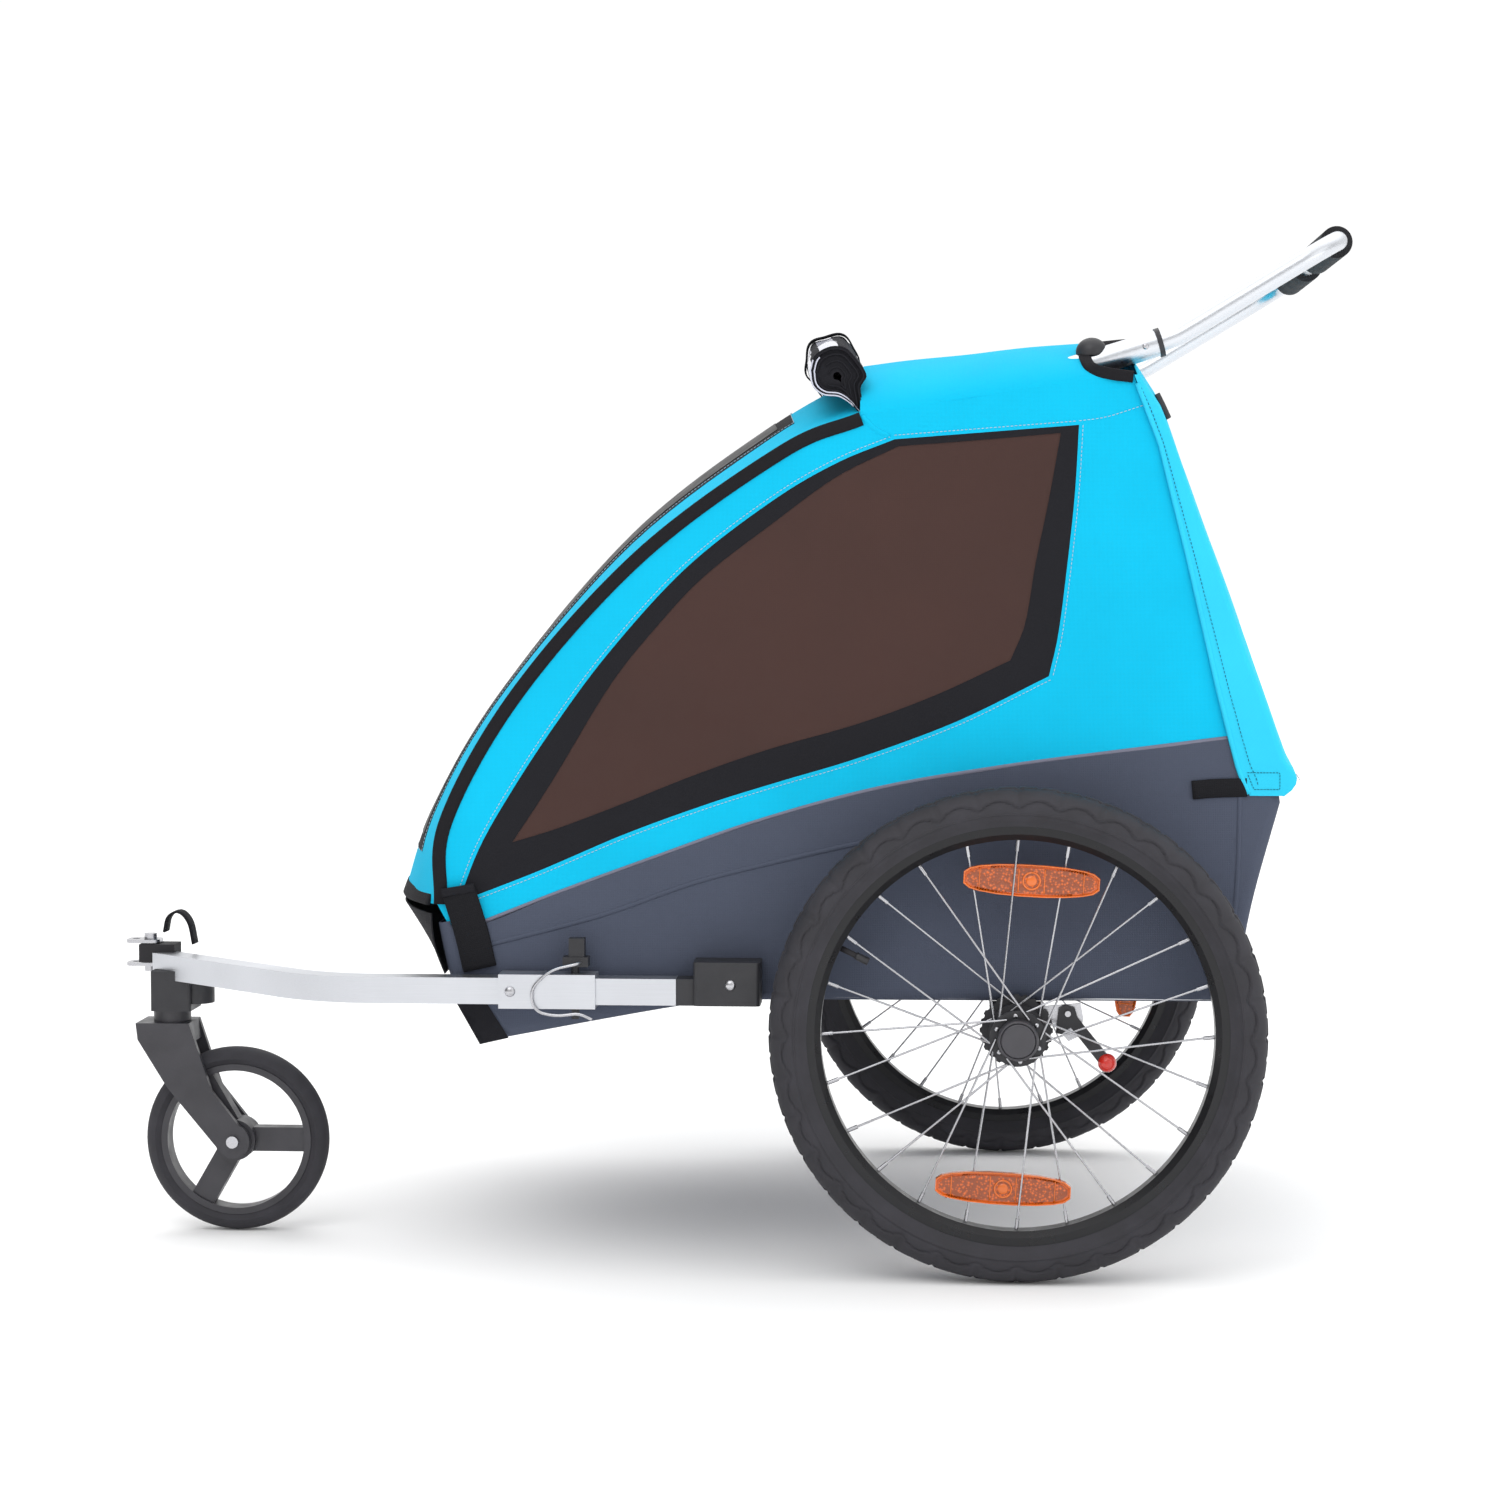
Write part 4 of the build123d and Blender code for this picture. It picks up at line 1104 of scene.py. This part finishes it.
# ---- seats and harness ----
def pad_mesh(name, size, centre, tilt, material, channels=(), crown=6.0, nx=40, ny=44):
    """A crowned pad about its own centre: size in millimetres (length, width, thickness), its length
    running along local x, with sewn channels at shares of its length."""
    length, width, thick = size
    verts, faces = [], []

    def height(u, v):
        edge = (1 - abs(2 * u - 1) ** 5) * (1 - abs(2 * v - 1) ** 5)
        h = thick / 2 * max(edge, 0) ** 0.4 + crown * sin(pi * u) * sin(pi * v)
        for c in channels:
            h -= 4.0 * max(0, 1 - abs(u - c) * length / 9) ** 2
        if abs(v - 0.5) * width < 9:
            h -= 4.0 * (1 - abs(v - 0.5) * width / 9) ** 2
        return h + 1.3 * noise.noise(Vector((u * 9, v * 9, thick)))

    turn = Matrix.Translation(centre) @ Matrix.Rotation(tilt, 4, "Y")
    for top in (1, -1):
        for i in range(nx + 1):
            for j in range(ny + 1):
                u, v = i / nx, j / ny
                pull = 1 - 0.012 * (sin(pi * v) + sin(pi * u))
                x, y = (u - 0.5) * length * pull, (v - 0.5) * width * pull
                z = height(u, v) if top == 1 else -thick / 2 * (1 - abs(2 * u - 1) ** 6) * (1 - abs(2 * v - 1) ** 6)
                verts.append(turn @ Vector((x, y, z)))
    half = (nx + 1) * (ny + 1)
    for i in range(nx):
        for j in range(ny):
            a = i * (ny + 1) + j
            faces.append((a, a + ny + 1, a + ny + 2, a + 1))
            faces.append((half + a, half + a + 1, half + a + ny + 2, half + a + ny + 1))
    made = add_mesh(name, [v * MM for v in verts], faces, material, [(v.x * MM, v.y * MM) for v in verts])
    weld(made, 0.8)
    return made


def inflate(obj, limit, pressure=4.0):
    """Cloth simulation with air inside, so that the pad swells between its seams. Points move at most
    limit millimetres."""
    start = [v.co.copy() for v in obj.data.vertices]
    cloth = obj.modifiers.new("Cloth", "CLOTH")
    cloth.settings.use_pressure = True
    cloth.settings.uniform_pressure_force = pressure
    cloth.settings.effector_weights.gravity = 0
    cloth.settings.quality = 4
    cloth.settings.tension_stiffness = 30
    cloth.settings.shear_stiffness = 12
    cloth.point_cache.frame_end = 20
    scene = bpy.context.scene
    for step in range(1, 21):
        scene.frame_set(step)
    done = obj.evaluated_get(bpy.context.evaluated_depsgraph_get()).to_mesh()
    ends = [v.co.copy() for v in done.vertices]
    obj.modifiers.remove(cloth)
    scene.frame_set(1)
    for vertex, a, b in zip(obj.data.vertices, start, ends):
        move = b - a
        if move.length > limit * MM:
            move = move.normalized() * limit * MM
        vertex.co = a + move
    obj.data.update()


def back_at(distance, offset):
    """(x, z) up the seat back from its hinge, and offset to the front of it."""
    a = radians(BACK_LEAN)
    return (BACK_PIVOT[0] - distance * sin(a) - offset * cos(a), BACK_PIVOT[1] + distance * cos(a) - offset * sin(a))


def make_seats():
    """Seat and back pads, and the shoulder straps of each child's harness with their pads and sliders."""
    x, z = back_at(225, 22)
    back = pad_mesh("seat_back_cushion", (392, 420, 16), Vector((x, 0, z)), radians(-90 - BACK_LEAN), PAD_GREY,
                    channels=(0.33, 0.66), crown=3.0)
    seat = pad_mesh("seat_cushion", (322, 420, 15), Vector((284, 0, 329)), 0, PAD_GREY, channels=(0.5,), crown=3.0)
    for pad, node, body in ((back, "seat_back_pad", "seat_back_frame"), (seat, "seat_pad", "chassis")):
        inflate(pad, 5.0)
        detail = pad.modifiers.new("detail", "SUBSURF")
        detail.levels = detail.render_levels = 1
        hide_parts(node)
        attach(pad, body)
    straps, buckles = [], []
    lean = Vector((-cos(radians(BACK_LEAN)), 0, -sin(radians(BACK_LEAN))))
    for y in (-150, -70, 70, 150):
        toward = 110 if y > 0 else -110
        line = []
        for k, d in enumerate((392, 330, 240, 150, 96)):
            px, pz = back_at(d, 38 + (3 if 0 < k < 4 else 0))
            share = k / 4
            line.append((px, y + (toward - y) * 0.45 * share, pz))
        path = [point(*along(line, k / 30)) for k in range(31)]
        straps.append(sweep("strap", path, WEBBING, tape(25, 1.6), [lean] * 31))
        middle_pad = path[3:17]
        padded = [p + lean * 0.002 for p in middle_pad]
        straps.append(sweep("pad", padded, PAD_BLACK, tape(42, 7.0, 0.8), [lean] * len(padded)))
        slider = [p + lean * 0.0022 for p in path[20:23]]
        buckles.append(bevel(sweep("slider", slider, BLACK_PLASTIC, tape(31, 4.0), [lean] * 3), 0.8))
    harness = join("shoulder_harness", straps)
    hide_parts("shoulder_straps")
    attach(harness, "seat_back_frame")
    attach(join("strap_sliders", buckles), "seat_back_frame")


# ---- wheels ----
def tread_lift(degrees, k):
    """Height of the tread over the plain section, at degrees round it and step k round the wheel."""
    s = abs(degrees)
    phase = (k / STEPS_PER_LUG + (0.5 if degrees > 0 else 0)) % 1
    edge = 86 - 23 * sin(pi * phase)
    if s <= 16:
        return 1.6 if (2 * k / STEPS_PER_LUG) % 1 > 0.12 else 0.0
    if 22 <= s < edge:
        slit = 0.035 + 0.05 * max(0, (46 - s) / 24)
        return 1.7 * min(1, max(0, (edge - s) / 1.8)) * (1 if min(phase, 1 - phase) > slit else 0.1)
    if edge <= s < edge + 4:
        return -0.9
    return 0.7 if s in (101, 104) else 0.0


def make_tyre(name, node, y_mid, body):
    """Tyre with a ribbed tread: a middle rib with sipes, and shoulder lugs with scalloped lower edges."""
    angles = [-a for a in TYRE_STEPS[::-1]] + TYRE_STEPS[1:]
    rows = []
    for k in range(TYRE_LUGS * STEPS_PER_LUG):
        turn = tau * k / (TYRE_LUGS * STEPS_PER_LUG)
        section = [(-TYRE_BEAD_Y, TYRE_BEAD_R)]
        for degrees in angles:
            a = radians(degrees)
            lift = tread_lift(degrees, k)
            section.append((22.6 * sin(a) + lift * sin(a), TYRE_SECTION_R + 20.2 * cos(a) + lift * max(cos(a), 0.05)))
        section.append((TYRE_BEAD_Y, TYRE_BEAD_R))
        rows.append([point(AXLE[0] + r * sin(turn), y_mid + y, AXLE[1] + r * cos(turn)) for y, r in section])
    rows.append([p.copy() for p in rows[0]])
    tyre = add_grid(name, rows, TYRE)
    weld(tyre, 0.01)
    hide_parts(node)
    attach(tyre, body)


def ring(name, profile, centre, material, turns=96):
    """A body of revolution about Y from (y, r) pairs in millimetres."""
    rows = []
    for k in range(turns + 1):
        a = tau * k / turns
        rows.append([point(centre[0] + r * sin(a), centre[1] + y, centre[2] + r * cos(a)) for y, r in profile])
    made = add_grid(name, rows, material)
    weld(made, 0.01)
    return made


def dome(centre, outward, r, height, rings=4, count=12):
    """Vertices and faces of a small dome, such as a rivet or spoke head."""
    axis = Vector(outward).normalized()
    side = axis.orthogonal().normalized()
    other = axis.cross(side)
    verts, faces = [], []
    for i in range(rings):
        a = pi / 2 * i / rings
        for j in range(count):
            b = tau * j / count
            verts.append(Vector(centre) + ((side * cos(b) + other * sin(b)) * r * cos(a) + axis * height * sin(a)) * MM)
    verts.append(Vector(centre) + axis * height * MM)
    for i in range(rings - 1):
        for j in range(count):
            k = (j + 1) % count
            faces.append((i * count + j, i * count + k, (i + 1) * count + k, (i + 1) * count + j))
    last = (rings - 1) * count
    faces += [(last + j, last + (j + 1) % count, rings * count) for j in range(count)]
    return verts, faces


def domes(name, places, r, height, material):
    """One piece of small domes at (centre, outward) places."""
    verts, faces = [], []
    for centre, outward in places:
        v, f = dome(centre, outward, r, height)
        faces += [tuple(i + len(verts) for i in face) for face in f]
        verts += v
    return add_mesh(name, verts, faces, material)


def make_wheel(name, side):
    """Tyre, reflectors, spoke heads, cap and valve of one large wheel."""
    body = f"{name}_wheel"
    y_mid = side * WHEEL_Y
    make_tyre(f"{name}_tyre_tread", f"{name}_tyre", y_mid, body)
    places = []
    for i in range(6):
        for face, start in ((1, -24), (-1, 6)):
            a = radians(start + 60 * i)
            spot = point(AXLE[0] + 23 * cos(a), y_mid + side * face * 26.0, AXLE[1] + 23 * sin(a))
            places.append((spot, (0, side * face, 0)))
    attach(domes(f"{name}_spoke_heads", places, 2.6, 1.8, STEEL), body)
    cap = [(side * y, r) for y, r in ((41, 20.4), (43.2, 19.6), (44.2, 18.2), (43.6, 17.6), (42.5, 17.4))]
    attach(ring(f"{name}_hub_cap", cap, (AXLE[0], y_mid, AXLE[1]), CAP_PLASTIC), body)
    valve_turn = radians(154)
    spokeward = Vector((cos(valve_turn), 0, sin(valve_turn)))
    hub = point(AXLE[0], y_mid, AXLE[1])
    stem = [hub + spokeward * r * MM for r in (196.5, 186, 178, 172)]
    valve = [sweep("stem", stem, RUBBER_BLOCK, round_profile(3.0), [Vector((0, 1, 0))] * 4)]
    capped = [hub + spokeward * r * MM for r in (180, 178, 168, 166)]
    valve.append(sweep("valve_cap", capped, BLACK_PLASTIC, round_profile(4.0), [Vector((0, 1, 0))] * 4))
    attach(join(f"{name}_valve", valve), body)
    make_reflectors(name, side, body)


def reflector_outline(shrink):
    """Outline of a wheel reflector in x and z about its middle: full in the middle, cut off at the ends."""
    upper = [(x * (1 - shrink / 68), z - shrink) for x, z in REFLECTOR_TOP]
    return upper + [(x, -z) for x, z in upper[::-1]]


def reflector_body(place):
    """Prism panels front and back inside a raised rim."""
    levels = ((3.4, 3.2), (3.2, 1.9), (1.8, 1.6), (1.2, 4.2), (0.2, 4.2), (0, 3.4))    # (inset, y)
    levels = levels + tuple((s, -y) for s, y in levels[::-1])
    n = 2 * len(REFLECTOR_TOP)
    verts, faces = [], []
    for shrink, y in levels:
        verts += [place @ point(x, y, z) for x, z in reflector_outline(shrink)]
    for level in range(len(levels) - 1):
        for j in range(n):
            k = (j + 1) % n
            faces.append((level * n + j, level * n + k, level * n + n + k, level * n + n + j))
    rim = len(faces)
    faces += [tuple(range(n - 1, -1, -1)), tuple((len(levels) - 1) * n + j for j in range(n))]
    made = add_mesh("reflector", verts, faces, AMBER, smooth=False)
    made.data.materials.append(AMBER_FRAME)
    for face in made.data.polygons:
        face.material_index = 1 if face.index < rim else 0
    return made


def reflector_face(place, y):
    """Round middle, ribs and slanted prisms on one face of a reflector."""
    made = []
    out = place.to_3x3() @ Vector((0, 1 if y > 0 else -1, 0))
    circle = [place @ point(8.5 * cos(tau * k / 24), y, 8.5 * sin(tau * k / 24)) for k in range(24)]
    profile = [(-1.2, 0), (-0.6, 1.0), (0.6, 1.0), (1.2, 0)]
    made.append(sweep("ring", circle, AMBER_FRAME, profile, [out] * 24, close=True))
    verts, faces = dome(place @ point(0, y, 0), out, 5.5, 1.4)
    made.append(add_mesh("boss", verts, faces, AMBER_FRAME))
    for x in (-52, -13, 13, 52):
        reach = 13.2 if abs(x) > 40 else 15
        path = [place @ point(x, y, reach * q) for q in (-0.8, -0.3, 0.3, 0.8)]
        profile = [(-0.9, -0.4), (-0.4, 0.8), (0.4, 0.8), (0.9, -0.4)]
        made.append(sweep("rib", path, AMBER_FRAME, profile, [out] * 4))
    for zone in (-1, 1):
        for k in range(11):
            x = zone * (17 + k * 3.1)
            path = [place @ point(x + 9 * q, y, 12.5 * q) for q in (-1, -0.4, 0.4, 1)]
            made.append(sweep("prism", path, AMBER, [(-1.3, -1.2), (0, 0.1), (1.3, -1.2)], [out] * 4))
    return made


def make_reflectors(name, side, body):
    """Two long reflectors a wheel. The right wheel stands a quarter turn on from the left."""
    parts = []
    first = 5 if name == "left" else 95
    for turn in (first, first + 180):
        a = radians(turn)
        centre = point(AXLE[0] + REFLECTOR_R * sin(a), side * WHEEL_Y, AXLE[1] + REFLECTOR_R * cos(a))
        place = Matrix.Translation(centre) @ Matrix.Rotation(a - radians(2), 4, "Y")
        parts.append(reflector_body(place))
        for y in (-3.3, 3.3):
            parts += reflector_face(place, y)
    whole = join(f"{name}_reflector_faces", parts)
    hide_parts(f"{name}_reflectors")
    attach(whole, body)


# ---- arm, hitch, handle details ----
def make_small_parts():
    """Bolts, rivets, the safety loop and other small hardware."""
    rivets = []
    for side in (LEFT, RIGHT):
        rivets.append((point(372, side * (TUBE_Y + 12.5), 921), (0, side, 0)))
        rivets.append((point(438, side * (TUBE_Y + 13.2), 942.5), (0, side, 0)))
    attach(domes("sleeve_rivets", rivets, 3.4, 1.8, STEEL), "canopy_frame")
    bolts = [(point(20, -342, 296), (0, -1, 0)), (point(-205, -339.2, 287.5), (0, -1, 0))]
    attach(domes("arm_bolts", bolts, 5.5, 3.0, STEEL), "chassis")
    loop = [(-611, 322), (-607, 338), (-596, 343), (-586, 332), (-581, 309)]
    path = [point(p[0], -128, p[1]) for p in spaced(loop, 3.0)]
    normals = []
    for i, p in enumerate(path):
        a, b = path[max(i - 1, 0)], path[min(i + 1, len(path) - 1)]
        t = (b - a).normalized()
        normals.append(Vector((-t.z, 0, t.x)))
    strap = sweep("safety_loop", path, WEBBING, tape(22, 2.4), normals)
    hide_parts("safety_strap")
    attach(strap, "chassis")


# ---- scene ----
def make_stage():
    """White floor and surroundings, soft lights, and a dimmer side in front for the cloth and metal."""
    size = 120.0
    rows = [[Vector((x * size / 8 - size / 2, y * size / 8 - size / 2, -0.0005)) for x in range(9)] for y in range(9)]
    s = Shader("studio_floor")
    tone = s.ramp(s.noise(1.2, 2.0), (0.97, 0.97, 0.97, 1), (0.98, 0.98, 0.98, 1), 0.3, 0.7)
    s.set(Roughness=0.95, Specular_IOR_Level=0.0)
    floor = add_grid("floor", rows, s.finish(tone))
    world = bpy.data.worlds.new("studio")
    bpy.context.scene.world = world
    world.use_nodes = True
    tree = world.node_tree
    background = tree.nodes["Background"]
    background.inputs["Color"].default_value = (1, 1, 1, 1)
    where, split = tree.nodes.new("ShaderNodeTexCoord"), tree.nodes.new("ShaderNodeSeparateXYZ")
    tree.links.new(where.outputs["Generated"], split.inputs["Vector"])
    strength = None
    grades = {"X": (-0.85, -0.35, 0.35, 1.0), "Y": (-0.3, 0.35, 0.74, 1.04), "Z": (0.35, 0.9, 1.0, 2.1)}
    for axis, (a, b, low, high) in grades.items():
        grade = tree.nodes.new("ShaderNodeMapRange")
        for socket, value in zip(("From Min", "From Max", "To Min", "To Max"), (a, b, low, high)):
            grade.inputs[socket].default_value = value
        tree.links.new(split.outputs[axis], grade.inputs["Value"])
        if strength is None:
            strength = grade.outputs["Result"]
            continue
        product = tree.nodes.new("ShaderNodeMath")
        product.operation = "MULTIPLY"
        tree.links.new(strength, product.inputs[0])
        tree.links.new(grade.outputs["Result"], product.inputs[1])
        strength = product.outputs["Value"]
    tree.links.new(strength, background.inputs["Strength"])
    for name, place, power, width in (("key", (-0.9, -2.6, 2.8), 24, 2.2), ("fill", (2.6, -2.4, 1.4), 12, 2.4)):
        light = bpy.data.lights.new(name, "AREA")
        light.energy, light.size = power, width
        lamp = bpy.data.objects.new(name, light)
        lamp.location = place
        lamp.rotation_mode = "QUATERNION"
        lamp.rotation_quaternion = (Vector((0.1, 0, 0.5)) - Vector(place)).to_track_quat("-Z", "Y")
        bpy.context.scene.collection.objects.link(lamp)


def make_camera():
    """Camera at the height and distance of a low standing view from the left."""
    camera = bpy.data.objects.new("camera", bpy.data.cameras.new("camera"))
    bpy.context.scene.collection.objects.link(camera)
    camera.data.lens, camera.data.sensor_width = 73.6, 36.0
    camera.location = (0.222, -3.420, 0.7075)
    yaw, pitch = -0.0591, -0.0560
    camera.rotation_mode = "QUATERNION"
    aim = Vector((sin(yaw) * cos(pitch), cos(yaw) * cos(pitch), sin(pitch)))
    camera.rotation_quaternion = aim.to_track_quat("-Z", "Y")
    camera.data.clip_start, camera.data.clip_end = 0.05, 50
    bpy.context.scene.camera = camera


make_camera()
make_stage()
dress_cad_nodes()
make_shell()
make_front_cover()
make_nose()
make_tub()
make_rear_flap()
make_handle_opening()
make_rolled_cover()
make_seats()
make_wheel("left", LEFT)
make_wheel("right", RIGHT)
make_small_parts()

bpy.context.scene.view_settings.view_transform = "Standard"
